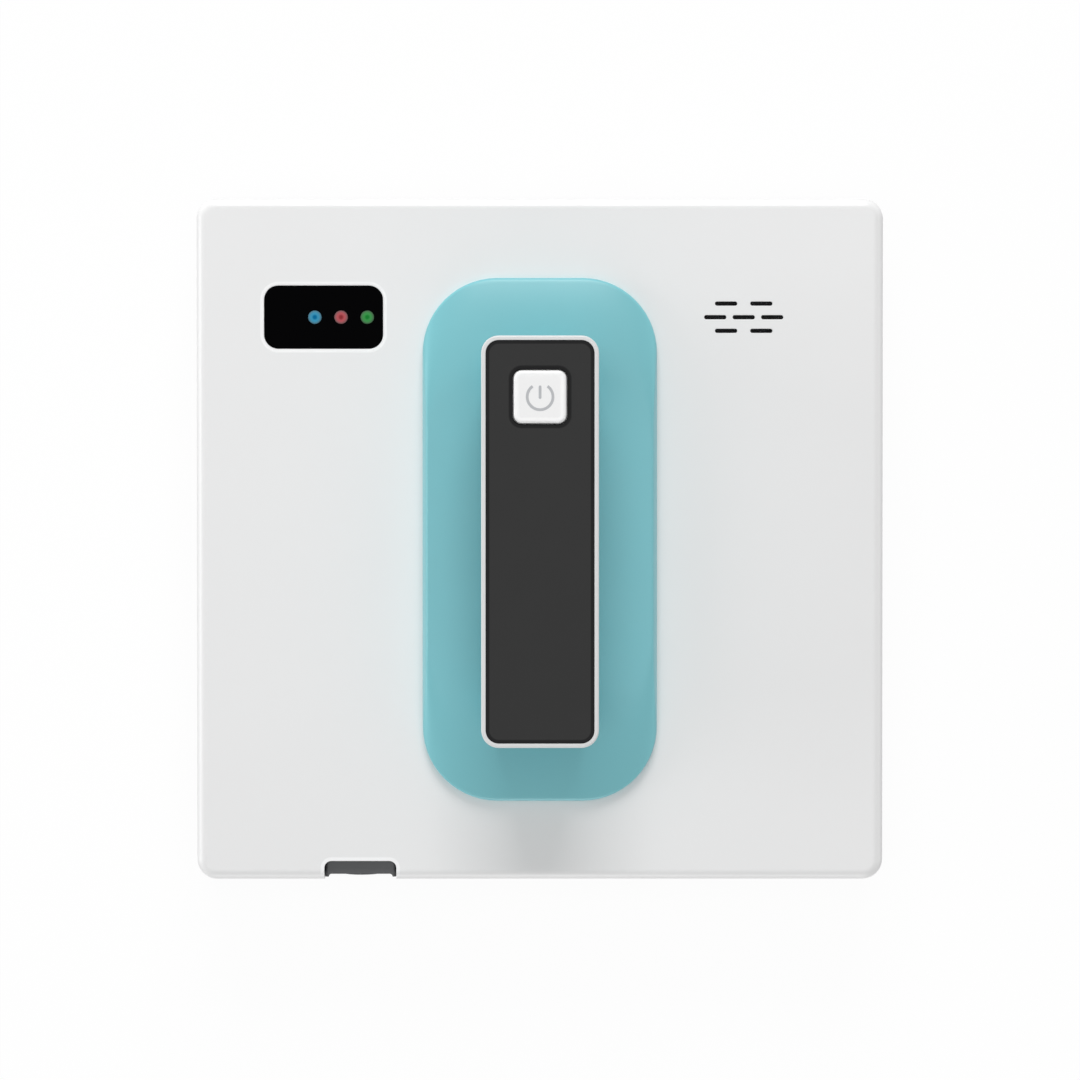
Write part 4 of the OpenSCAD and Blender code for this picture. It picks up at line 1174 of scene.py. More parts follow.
def hand_over(piece: bpy.types.Object, kit: Kit, *finishes: object) -> None:
    """Give a piece its finishes, its body and the nodes that it stands for.

    Args:
        piece: The piece.
        kit: What it belongs to.
        finishes: Its finishes, in the order of its material slots.
    """
    if len(finishes) == 1:
        piece.data.materials.clear()
    for finish in finishes:
        piece.data.materials.append(made(finish))
    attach(piece, kit.body)
    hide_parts(*kit.nodes)
    LOG.info("piece %s: %d faces, stands for %s", piece.name, len(piece.data.polygons),
             ", ".join(kit.nodes))


_MADE: dict[str, bpy.types.Material] = {}


def made(finish: object) -> bpy.types.Material:
    """Find a finish's material, or build it the first time that it is asked for.

    Args:
        finish: The finish.

    Returns:
        The material.
    """
    if finish.name not in _MADE:
        _MADE[finish.name] = finish.make()
    return _MADE[finish.name]


def dress(finish: object, *nodes: str) -> None:
    """Give CAD nodes a finish.

    Args:
        finish: The finish.
        nodes: Names of the nodes.
    """
    for node in nodes:
        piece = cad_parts[node]
        if not piece.material_slots:
            piece.data.materials.append(None)
        for slot in piece.material_slots:
            slot.material = made(finish)
        LOG.info("node %s: %s", node, finish.name)


@dataclass(frozen=True)
class Footing:
    """Where the handle is screwed to the cover, the same on both sides of the middle.

    Attributes:
        leg_screw: Where a leg's screw is along X and Y.
        base_screw: Where a screw of the raised base is.
        passage: The opening for the wires under the leg on the +Y side.
    """

    leg_screw: tuple[float, float] = (11.0, 59.0)
    base_screw: tuple[float, float] = (30.0, 58.0)
    passage: Outline = Outline(8.0, 7.0, 0.5, 0.0, 59.0, arc=3)

    def leg_screws(self, side: int) -> list[tuple[float, float]]:
        """Return where the screws of the leg on one side are, -1 or 1 along Y."""
        x, y = self.leg_screw
        return [(-x, side * y), (x, side * y)]

    def base_screws(self, side: int) -> list[tuple[float, float]]:
        """Return where the base's screws on one side are."""
        x, y = self.base_screw
        return [(-x, side * y), (x, side * y)]

    def wires(self, side: int) -> Outline:
        """Return the opening for the wires on one side."""
        return replace(self.passage, y=side * self.passage.y)


FOOTING = Footing()


@dataclass
class Casing:
    """The white top cover and the dark chassis that closes it from below.

    Attributes:
        corner: Corner radius seen from above.
        edge: Radius of the rounded top edge.
        wall: Thickness of the walls.
        inner_edge: Radius of the edge under the ceiling.
        window: The indicator window's recess.
        window_t: Depth of that recess.
        ledge: Width of the ledge that the window rests on.
        lip: Width and depth of the sloping lip round the window.
        notch: The notch for the power inlet.
        notch_z: Height of the notch's foot.
        rim: Width of the painted highlight round the window and the notch.
        opening: The opening under the raised base.
        slot_size: Length and width of a speaker slot.
        slot_steps: Distances between slots: in the middle row, in the outer rows, and between rows.
        speaker_ring: Play, width and depth of the ring round the speaker.
        post_places: Where the case screws' posts are.
        post: Radius of such a post, and height of its foot.
        post_hole: Heights from and to which its screw hole runs.
        board_post: Radius of the indicator board's posts, and their distance from the middle of
            the window.
        board_hole: How far their screw holes reach above the board.
        vent: A vent, as it lies before it is stood up.
        vent_row: Number of vents in a row, and distance between two.
        vent_place: Distance of a row's middle from the body's, and its height.
    """

    corner: float = 7.0
    edge: float = 3.5
    wall: float = 2.5
    inner_edge: float = 1.0
    window: Outline = Outline(41.56, 22.06, 5.0, -75.5, 77.6, arc=10)
    window_t: float = 1.6
    ledge: float = 2.0
    lip: tuple[float, float] = (1.0, 0.25)
    notch: Outline = Outline(25.2, 13.0, 2.5, -62.8, -119.0)
    notch_z: float = 21.8
    rim: float = 1.35
    opening: Outline = Outline(60.0, 84.0, 12.0)
    slot_size: tuple[float, float] = (7.8, 1.5)
    slot_steps: tuple[float, float, float] = (9.95, 12.3, 4.75)
    speaker_ring: tuple[float, float, float] = (0.2, 1.5, 5.0)
    post_places: tuple[tuple[float, float], ...] = (
        (82, 99), (-82, 99), (82, -99), (-82, -99), (0, 80), (0, -80))
    post: tuple[float, float] = (3.5, 10.6)
    post_hole: tuple[float, float] = (10.5, 19.5)
    board_post: tuple[float, float] = (2.4, 22.9)
    board_hole: float = 4.0
    vent: Outline = Outline(2.4, 12.0, 1.1, arc=4)
    vent_row: tuple[int, float] = (6, 4.0)
    vent_place: tuple[float, float] = (26.0, 19.0)

    @property
    def board_screws(self) -> list[tuple[float, float]]:
        """Where the indicator board's two screws are."""
        return [(self.window.x + side * self.board_post[1], self.window.y) for side in (-1, 1)]

    def shell(self) -> bpy.types.Object:
        """Model the cover's outer form and its hollow inside.

        Returns:
            The piece.
        """
        place = Place.of("top_cover")
        outline = Outline(place.size.x, place.size.y, self.corner, arc=10)
        block = Tiers(outline, place.low.z, place.size.z - self.edge).round_over(self.edge, 8)
        inside = Tiers(outline.grown(-self.wall), place.low.z - self.inner_edge,
                       place.size.z - self.wall).round_over(self.inner_edge, 3)
        return carve(settled("top_cover_shell", block.bm), inside.bm)

    def posts(self) -> BMesh:
        """Model the posts and the speaker's ring under the ceiling.

        Returns:
            The mesh of all of them.
        """
        ceiling = Place.of("top_cover").high.z - self.wall
        speaker, board = Place.of("speaker_mesh"), Place.of("indicator_board")
        radius, foot = self.post
        posts = [cylinder(radius, foot, ceiling + ROOT, x, y) for x, y in self.post_places]
        radius, foot = self.board_post[0], board.high.z
        posts += [cylinder(radius, foot, ceiling + ROOT, x, y) for x, y in self.board_screws]
        play, width, depth = self.speaker_ring
        inner = speaker.size.x / 2 + play
        outer = inner + width
        ring = turned([(inner, -depth), (outer, -depth), (outer, ROOT), (inner, ROOT)], closed=True)
        return together(*posts, placed(ring, Vector((speaker.middle.x, speaker.middle.y, ceiling))))

    def slots(self, ceiling: float) -> list[BMesh]:
        """Model the speaker's slots, seven of them in three rows.

        Args:
            ceiling: Height of the ceiling that they go through.

        Returns:
            A mesh for each slot.
        """
        speaker = Place.of("speaker_mesh").middle
        middle_step, outer_step, row_step = self.slot_steps
        cuts = []
        for row in (-1, 0, 1):
            step = middle_step if row == 0 else outer_step / 2
            for side in (-1, 0, 1) if row == 0 else (-1, 1):
                x, y = speaker.x + side * step, speaker.y + row * row_step
                slot = round_ended(*self.slot_size, x, y, arc=5)
                cuts.append(through(slot, ceiling, self.wall))
        return cuts

    def vents(self, end: float) -> list[BMesh]:
        """Model the two rows of vents in the wall at the +Y end.

        Args:
            end: Where that wall's outer face is along Y.

        Returns:
            A mesh for each vent.
        """
        count, step = self.vent_row
        x, z = self.vent_place
        cuts = []
        for side in (-1, 1):
            for i in range(count):
                vent = Tiers(self.vent, -self.wall, 2 * self.wall).bm
                at = Vector((side * x + (i - (count - 1) / 2) * step, end - self.wall / 2, z))
                cuts.append(placed(vent, at, 90))
        return cuts

    def handle_holes(self, ceiling: float) -> list[BMesh]:
        """Model the holes for the handle's screws and wires.

        Args:
            ceiling: Height of the ceiling that they go through.

        Returns:
            A mesh for each hole.
        """
        low, high = ceiling - OVER, ceiling + self.wall + OVER
        cuts = []
        for side in (-1, 1):
            screws = FOOTING.leg_screws(side) + FOOTING.base_screws(side)
            cuts += [cylinder(CLEARANCE, low, high, x, y, sides=20) for x, y in screws]
            cuts.append(through(FOOTING.wires(side), ceiling, self.wall))
        return cuts

    def holes(self) -> list[BMesh]:
        """Model what is cut out of the cover, in two goes because some cuts overlap.

        Returns:
            The meshes of the two goes.
        """
        place, board = Place.of("top_cover"), Place.of("indicator_board")
        top = place.high.z
        ceiling = top - self.wall
        cuts = [cylinder(THREAD, *self.post_hole, x, y) for x, y in self.post_places]
        cuts += [cylinder(SMALL_THREAD, board.low.z, board.high.z + self.board_hole, x, y, sides=16)
                 for x, y in self.board_screws]
        cuts.append(Tiers(self.window, top - self.window_t, self.window_t + OVER).bm)
        cuts.append(Tiers(self.notch, self.notch_z, top - self.notch_z + OVER).bm)
        cuts.append(through(self.opening, ceiling, self.wall))
        cuts += self.slots(ceiling) + self.vents(place.high.y) + self.handle_holes(ceiling)
        return [together(*cuts), through(self.window.grown(-self.ledge), ceiling, self.wall)]

    def build(self) -> None:
        """Model the cover and dress the chassis."""
        cover = self.shell()
        carve(cover, self.posts(), Join.ADD)
        for cut in self.holes():
            carve(cover, cut)
        carve(cover, sunk_lip(self.window, Place.of("top_cover").high.z, *self.lip))
        smooth(cover)
        # Painted highlight: a near white band round the window and the notch.
        highlight_white = (253, 253, 253)
        painted_bands = PaintedBand(self.window, self.rim, highlight_white), PaintedBand(self.notch, self.rim, highlight_white)
        # turned paints the cover's sides and rounded edges lighter, a painted highlight.
        white = Plastic("white_shell", (240, 240, 240), 0.3, drift=0.004, depth=0.003, scuff_highlight=1.02,
                        turned=1.045, patchy=0.015, painted_bands=painted_bands)
        hand_over(cover, Kit("robot", "white_shell", ("top_cover",)), white)
        dress(Plastic("dark_floor", (62, 64, 67), 0.55, 1300.0, 0.03, drift=0.1, scuff_highlight=1.35),
              "chassis")


@dataclass
class Handle:
    """The teal base and bridge of the handle, with its white cap and dark inlay.

    Attributes:
        base_corner: Corner radius of the raised base.
        band: Height of the upright band at its foot.
        inset: How far its crown lies inside its foot, across and along.
        lip: Share of the crown's height in its tight lower edge, and its share of the inset.
        crown_steps: Number of tiers in the crown.
        base_wall: Thickness of the base.
        base_post: Radius of the base's posts, and how far they end below its highest point.
        leg: Section of a leg, at the leg's place on the +Y side.
        leg_play: Play between a leg and its opening in the base.
        leg_bore: Depth of the holes in a leg's foot.
        leg_root: How far a leg reaches into the grip.
        flare: Radius of the hollow where a leg meets the grip.
        flare_steps: Number of tiers in that hollow.
        grip_h: Height of the grip's lower half.
        grip_corner: Its corner radius.
        grip_edge: Radius of its lower edge.
        floor: Thickness of its floor.
        tongue: How far its rim reaches up into the cap, and how far inside its outline it does so.
        wall: Thickness of the grip's walls.
        screw_places: Where the cap's screws are along Y.
        boss: Radius of the bosses round these screws, and their height above the floor.
        head: Radius and depth of the recesses for the screws' heads.
        rib: Radius of the switch board's posts, and their height above the floor.
        rib_reach: Distance of these posts from the board's middle, along X and Y.
        rib_skin: What stays under their holes.
        cap_corner: Corner radius of the cap.
        cap_edge: Radius of its rounded top edge.
        cap_t: Thickness of the cap under the inlay.
        cap_post: Radius of the cap's posts, and how far they reach below the seam.
        cap_hole: How far their screw holes reach above the seam.
        rim: Width of the white rim round the inlay.
        inlay_t: Thickness of the inlay.
        inlay_corner: Its corner radius.
        inlay_edge: Radius of its rounded edge.
        opening: Side and corner radius of the opening for the power button.
        opening_lip: Width and depth of the sloping lip round that opening.
        edge_shade: How far the painted shade along the inlay's edge reaches inside it, and the
            width of its blend into the paler middle.
        shade: Width of the band of painted shade round the opening.
    """

    base_corner: float = 26.0
    band: float = 2.4
    inset: tuple[float, float] = (2.0, 34.0)
    lip: tuple[float, float] = (0.13, 0.03)
    crown_steps: int = 20
    base_wall: float = 2.5
    base_post: tuple[float, float] = (3.5, 1.2)
    leg: Outline = Outline(34.0, 16.0, 4.0, 0.0, 59.0)
    leg_play: float = 0.2
    leg_bore: float = 14.0
    leg_root: float = 1.5
    flare: float = 9.0
    flare_steps: int = 9
    grip_h: float = 7.0
    grip_corner: float = 4.5
    grip_edge: float = 4.2
    floor: float = 2.5
    tongue: tuple[float, float] = (2.0, 1.0)
    wall: float = 2.3
    screw_places: tuple[float, ...] = (-37.8, -9.1, 19.6)
    boss: tuple[float, float] = (4.0, 2.5)
    head: tuple[float, float] = (2.9, 2.6)
    rib: tuple[float, float] = (2.0, 1.5)
    rib_reach: float = 11.5
    rib_skin: float = 1.25
    cap_corner: float = 6.0
    cap_edge: float = 0.6
    cap_t: float = 2.0
    cap_post: tuple[float, float] = (3.0, 1.9)
    cap_hole: float = 2.6
    rim: float = 1.5
    inlay_t: float = 1.2
    inlay_corner: float = 4.47
    inlay_edge: float = 0.2
    opening: tuple[float, float] = (18.6, 3.1)
    opening_lip: tuple[float, float] = (1.3, 0.45)
    edge_shade: tuple[float, float] = (2.2, 1.0)
    shade: float = 1.4

    @property
    def button(self) -> Outline:
        """Outline of the opening for the power button."""
        side, radius = self.opening
        middle = Place.of("power_button").middle
        return Outline(side, side, radius, middle.x, middle.y, arc=6)

    @property
    def inset_panel(self) -> Outline:
        """Outline of the inlay."""
        size = Place.of("handle_inlay").size
        return Outline(size.x, size.y, self.inlay_corner, arc=10)

    @property
    def seam(self) -> float:
        """Height at which the cap meets the grip's lower half."""
        return Place.of("handle_bridge").high.z - self.tongue[0]

    def crown(self, inside: float) -> BMesh:
        """Model the base's crown.

        Args:
            inside: How far it is taken in, for the hollow under the base.

        Returns:
            The mesh.
        """
        place = Place.of("handle_base")
        foot = Outline(place.size.x, place.size.y, self.base_corner, arc=14).grown(-inside)
        sunk = 0.1 if inside else 0.0
        block = Tiers(foot, place.low.z - sunk, max(self.band - inside, 0.0) + sunk)
        height = place.size.z - self.band
        across, along = self.inset
        lip_share, lip_reach = self.lip
        last_share, last_rise = 0.0, 0.0
        for i in range(1, self.crown_steps + 1):
            share = (i / self.crown_steps) ** 2
            lip = math.sqrt(1 - (1 - min(1.0, share / lip_reach)) ** 2)
            rise = lip_share * lip + (1 - lip_share) * (1 - (1 - share) ** 2)
            step = share - last_share
            block.slope(step * across, (rise - last_rise) * height, step * along)
            last_share, last_rise = share, rise
        return block.bm

    def base(self) -> bpy.types.Object:
        """Model the raised base round the legs.

        Returns:
            The piece.
        """
        place = Place.of("handle_base")
        low, high = place.low.z, place.high.z
        base = settled("handle_raised_base", self.crown(0))
        carve(base, self.crown(self.base_wall))
        screws = FOOTING.base_screws(-1) + FOOTING.base_screws(1)
        radius, below = self.base_post
        posts = [cylinder(radius, low, high - below, x, y) for x, y in screws]
        carve(base, together(*posts), Join.ADD)
        end = high - self.base_wall
        cuts = [cylinder(THREAD, low - OVER, end, x, y, sides=20) for x, y in screws]
        leg = self.leg.grown(self.leg_play)
        cuts += [through(replace(leg, y=side * leg.y), low, high - low) for side in (-1, 1)]
        return smooth(carve(base, together(*cuts)), sharp=40)

    def leg_block(self, side: int, low: float, high: float) -> BMesh:
        """Model a leg that widens towards the grip on its inner side.

        Args:
            side: The end of the handle, -1 or 1 along Y.
            low: Height of its foot.
            high: Height of the grip's underside.

        Returns:
            The mesh.
        """
        y = side * self.leg.y
        leg = Tiers(replace(self.leg, y=y), low, high - low - self.flare)
        last = 0.0
        for i in range(1, self.flare_steps + 1):
            leg.rise(self.flare / self.flare_steps)
            up = self.flare * i / self.flare_steps
            reach = self.flare - math.sqrt(max(0.0, self.flare ** 2 - up ** 2))
            inner = [v for v in leg.top.verts if (v.co.y - (y - side * last / 2)) * side < 0]
            bmesh.ops.translate(leg.bm, vec=(0, -side * (reach - last), 0), verts=inner)
            last = reach
        return leg.rise(self.leg_root).bm

    def bridge(self) -> bpy.types.Object:
        """Model the legs and the lower half of the grip as one piece.

        Returns:
            The piece.
        """
        place, foot = Place.of("handle_bridge"), Place.of("handle_base").low.z
        under = self.seam - self.grip_h
        floor = under + self.floor
        outline = Outline(place.size.x, place.size.y, self.grip_corner)
        grip = Tiers(outline, self.seam, -(self.grip_h - self.grip_edge))
        bridge = settled("handle_grip_bridge", grip.round_over(-self.grip_edge, 7).bm)
        for side in (-1, 1):
            carve(bridge, self.leg_block(side, foot, under), Join.ADD)
        rise, inset = self.tongue
        carve(bridge, Tiers(outline.grown(-inset), self.seam - ROOT, rise + ROOT).bm, Join.ADD)
        carve(bridge, Tiers(outline.grown(-self.wall), floor, self.grip_h + rise).bm)
        self.fit_bridge(bridge, foot, under)
        return smooth(bridge, sharp=40)

    def fit_bridge(self, bridge: bpy.types.Object, foot: float, under: float) -> None:
        """Add the bridge's bosses and posts, and cut its holes.

        Args:
            bridge: The piece.
            foot: Height of the legs' feet.
            under: Height of the grip's underside.
        """
        floor = under + self.floor
        board, reach = Place.of("switch_board").middle, self.rib_reach
        ribs = [(board.x + i * reach, board.y + j * reach) for i in (-1, 1) for j in (-1, 1)]
        (boss, boss_h), (rib, rib_h), (head, head_h) = self.boss, self.rib, self.head
        bosses = [cylinder(boss, floor - ROOT, floor + boss_h, y=y) for y in self.screw_places]
        bosses += [cylinder(rib, floor - ROOT, floor + rib_h, x, y, sides=20) for x, y in ribs]
        carve(bridge, together(*bosses), Join.ADD)
        cuts = [cylinder(CLEARANCE, floor - ROOT, floor + boss_h + OVER, y=y, sides=20)
                for y in self.screw_places]
        cuts += [cylinder(SMALL_THREAD, under + self.rib_skin, floor + rib_h + OVER, x, y, sides=16)
                 for x, y in ribs]
        for side in (-1, 1):
            cuts += [cylinder(THREAD, foot - OVER, foot + self.leg_bore, x, y, sides=20)
                     for x, y in FOOTING.leg_screws(side)]
            end = floor + OVER if side > 0 else foot + self.leg_bore
            cuts.append(Tiers(FOOTING.wires(side), foot - OVER, end - foot + OVER).bm)
        carve(bridge, together(*cuts))
        heads = [cylinder(head, under - OVER, under + head_h, y=y, sides=24)
                 for y in self.screw_places]
        carve(bridge, together(*heads))

    def cap(self) -> bpy.types.Object:
        """Model the white upper half of the grip.

        Returns:
            The piece.
        """
        place, top = Place.of("handle_cap"), Place.of("handle_inlay").high.z
        seam, floor = self.seam, top - self.inlay_t
        ceiling = floor - self.cap_t
        outline = Outline(place.size.x, place.size.y, self.cap_corner, arc=10)
        block = Tiers(outline, seam, top - seam - self.cap_edge).round_over(self.cap_edge, 4)
        block.slope(self.rim - self.cap_edge, 0).rise(-self.inlay_t)
        block.hollow(self.wall, ceiling - seam)
        cap = settled("handle_white_cap", block.bm)
        radius, below = self.cap_post
        posts = [cylinder(radius, seam - below, ceiling + ROOT, y=y) for y in self.screw_places]
        carve(cap, together(*posts), Join.ADD)
        cuts = [cylinder(THREAD, seam - below - OVER, seam + self.cap_hole, y=y, sides=20)
                for y in self.screw_places]
        cuts.append(through(self.button, ceiling, self.cap_t))
        return smooth(carve(cap, together(*cuts)))

    def inlay(self) -> bpy.types.Object:
        """Model the dark inlay with its sloping edge round the button.

        Returns:
            The piece.
        """
        place = Place.of("handle_inlay")
        panel = Tiers(self.inset_panel, place.low.z, place.size.z - self.inlay_edge)
        inlay = settled("handle_inlay_panel", panel.round_over(self.inlay_edge, 2).bm)
        carve(inlay, through(self.button, place.low.z, place.size.z))
        return smooth(carve(inlay, sunk_lip(self.button, place.high.z, *self.opening_lip)))

    def build(self) -> None:
        """Model the handle's pieces and hand them over."""
        # Painted shade: the inlay is darker along its edge below the white rim and round the
        # button.
        inside, width = self.edge_shade
        shade_bands = (PaintedBand(self.inset_panel.grown(-inside), width, (49, 49, 49)),
                 PaintedBand(self.button, self.shade, (24, 24, 25)))
        # turned paints the sides of the teal and the white cap lighter, a painted highlight.
        teal = Plastic("teal_shell", (121, 191, 199), 0.34, drift=0.012, depth=0.003, scuff_highlight=1.05,
                       turned=1.06, patchy=0.015)
        white = Plastic("white_cap", (223, 224, 224), 0.3, drift=0.006, depth=0.003, scuff_highlight=1.02,
                        turned=1.04, patchy=0.02)
        dark = Plastic("charcoal_inlay", (24, 24, 25), 0.42, 1500.0, 0.006, drift=0.05,
                       specular=0.12, scuff_highlight=1.1, patchy=0.03, painted_bands=shade_bands)
        hand_over(self.base(), Kit("robot", "teal_shell", ("handle_base",)), teal)
        hand_over(self.bridge(), Kit("robot", "teal_shell", ("handle_bridge",)), teal)
        hand_over(self.cap(), Kit("robot", "white_shell", ("handle_cap",)), white)
        hand_over(self.inlay(), Kit("robot", "charcoal", ("handle_inlay",)), dark)


@dataclass
class PowerButton:
    """The square power button with its printed power symbol, and the switch under it.

    Attributes:
        corner: Corner radius of the flange.
        flange: Width and height of the flange that holds it in.
        shoulder: Radius of its rounded top edge.
        rim: Width of the bright rim between the edge and the dished face.
        dish: Width of the slope into the dished face, and that face's depth.
        ring: Outer radius of the symbol's ring.
        line: Width of the symbol's lines.
        gap: Width of the break in the ring.
        bar: Foot and top of the symbol's bar, from the ring's middle.
        print_t: Thickness of the print, and how far it stands above the face.
    """

    corner: float = 4.0
    flange: tuple[float, float] = (1.2, 1.0)
    shoulder: float = 1.1
    rim: float = 0.6
    dish: tuple[float, float] = (0.3, 0.12)
    ring: float = 4.85
    line: float = 0.95
    gap: float = 5.6
    bar: tuple[float, float] = (-0.7, 3.85)
    print_t: tuple[float, float] = (0.2, 0.02)

    def key(self) -> bpy.types.Object:
        """Model the button, whose dished face has the second finish.

        Returns:
            The piece.
        """
        place = Place.of("power_button")
        width, height = self.flange
        slope, depth = self.dish
        foot = place.outline(self.corner, 6)
        block = Tiers(foot, place.low.z, height).slope(width, 0)
        block.rise(place.size.z - height - self.shoulder).round_over(self.shoulder, 6)
        block.slope(self.rim, 0).slope(slope, -depth)
        block.top.material_index = 1
        return smooth(settled("power_button_key", block.bm))

    def symbol(self) -> bpy.types.Object:
        """Model the printed power symbol.

        Returns:
            The piece.
        """
        place = Place.of("power_button")
        thickness, proud = self.print_t
        top = place.high.z - self.dish[1] + proud
        radius, half = self.ring - self.line / 2, math.asin(self.gap / 2 / self.ring)
        bm = bmesh.new()
        bmesh.ops.create_grid(bm, x_segments=1, y_segments=1, size=0.5)
        bmesh.ops.scale(bm, vec=(self.line, thickness, 1), verts=bm.verts)
        placed(bm, Vector((radius, 0, -thickness / 2)), 90)
        placed(bm, Vector(), 90 + math.degrees(half), "Z")
        bmesh.ops.spin(bm, geom=bm.verts[:] + bm.edges[:] + bm.faces[:], cent=(0, 0, 0),
                       axis=(0, 0, 1), dvec=(0, 0, 0), angle=math.tau - 2 * half, steps=40,
                       use_merge=False, use_duplicate=False)
        foot, head = self.bar
        bar = round_ended(self.line, head - foot, 0, (head + foot) / 2, arc=4)
        both = together(bm, Tiers(bar, -thickness, thickness).bm)
        both = placed(both, Vector((place.middle.x, place.middle.y, top)))
        return smooth(settled("power_button_symbol", both))

    def build(self) -> None:
        """Model the button and its symbol, and dress the switch."""
        rim = Plastic("button_white", (254, 254, 254), 0.25, drift=0.003, depth=0.002, scuff_highlight=1.0,
                      patchy=0.01)
        face = Plastic("button_face", (247, 247, 247), 0.3, drift=0.004, depth=0.003, scuff_highlight=1.0,
                       patchy=0.01)
        print_grey = Plastic("icon_grey", (190, 192, 195), 0.5, 2600.0, 0.004, drift=0.03,
                             specular=0.3, edge=0.05)
        hand_over(self.key(), Kit("button", "button_white", ("power_button",)), rim, face)
        hand_over(self.symbol(), Kit("button", "icon_grey", ("power_icon",)), print_grey)
        dress(Plastic("plunger_black", (24, 24, 26), 0.4, drift=0.1), "switch_plunger")
        dress(Metal("switch_can", (176, 178, 180), Grain.ACROSS, 0.3), "tact_switch")


@dataclass
class Indicator:
    """The black window with its three lights, and what lies behind it.

    Attributes:
        corner: Corner radius of the window.
        edge: Radius of its rounded edge.
        hole: Radius of its holes for the lights.
        lens_r: Radius of a lens and its light pipe.
        lens_t: Thickness of a lens.
        dome: Radius and height of the points of a lens's dome, from its edge to its top.
        pitch: Distance between two lights.
        web: Width and thickness of the web between the light pipes, and its depth below their tops.
    """

    corner: float = 5.0
    edge: float = 0.25
    hole: float = 2.38
    lens_r: float = 2.35
    lens_t: float = 0.8
    dome: tuple[tuple[float, float], ...] = (
        (2.35, -0.16), (2.28, -0.09), (2.1, -0.04), (1.2, 0), (0, 0))
    pitch: float = 9.15
    web: tuple[float, float, float] = (2.0, 1.4, 1.7)

    def lights(self) -> list[Vector]:
        """Return the tops of the three lights, from left to right."""
        place = Place.of("light_pipes")
        x, y, z = place.middle.x, place.middle.y, place.high.z
        return [Vector((x + i * self.pitch, y, z)) for i in (-1, 0, 1)]

    def window(self) -> bpy.types.Object:
        """Model the window.

        Returns:
            The piece.
        """
        place = Place.of("indicator_window")
        outline = place.outline(self.corner, 10)
        block = Tiers(outline, place.low.z, place.size.z - self.edge).round_over(self.edge, 3)
        holes = [cylinder(self.hole, place.low.z - OVER, place.high.z + OVER, at.x, at.y, sides=40)
                 for at in self.lights()]
        return smooth(carve(settled("indicator_window_pane", block.bm), together(*holes)))

    def pipes(self) -> bpy.types.Object:
        """Model the clear light pipes and their web.

        Returns:
            The piece.
        """
        place, lights = Place.of("light_pipes"), self.lights()
        width, thickness, depth = self.web
        low, high = place.low.z, place.high.z - self.lens_t
        pipes = [cylinder(self.lens_r, low, high, at.x, at.y, sides=40) for at in lights]
        guide = settled("light_guide", together(*pipes))
        web = Outline(2 * self.pitch, width, 0.4, lights[1].x, lights[1].y, arc=3)
        foot = place.high.z - depth - thickness
        return smooth(carve(guide, Tiers(web, foot, thickness).bm, Join.ADD))

    def lens(self, name: str, at: Vector) -> bpy.types.Object:
        """Model the domed lens on top of a light pipe.

        Args:
            name: Name of the piece.
            at: Top of the light.

        Returns:
            The piece.
        """
        profile = [(0, -self.lens_t), (self.lens_r, -self.lens_t), *self.dome]
        return smooth(settled(name, placed(turned(profile, 40), at)))

    def build(self) -> None:
        """Model the window and its lights, and dress what is behind them."""
        gloss = Plastic("window_black", (2, 2, 3), 0.12, 900.0, 0.001, drift=0.3, specular=0.01,
                        scuff_highlight=1.0, edge=0.1)
        hand_over(self.window(), Kit("robot", "black_gloss", ("indicator_window",)), gloss)
        clear = Plastic("clear_guide", (214, 222, 226), 0.15, drift=0.03, specular=0.6)
        kit = Kit("robot", "clear", ("light_pipes",))
        hand_over(self.pipes(), kit, clear)
        shades = {
            "blue": ((0, 105, 152), (60, 150, 186), (84, 132, 152)),
            "red": ((142, 50, 54), (186, 86, 92), (140, 96, 98)),
            "green": ((24, 126, 48), (62, 148, 76), (78, 116, 82)),
        }
        for (colour, tones), at in zip(shades.items(), self.lights()):
            finish = Lens(f"lens_{colour}", *tones, at.x, at.y, self.lens_r)
            hand_over(self.lens(f"light_lens_{colour}", at), kit, finish)
        dress(Plastic("led_cream", (226, 214, 170), 0.3, drift=0.05), "indicator_leds")


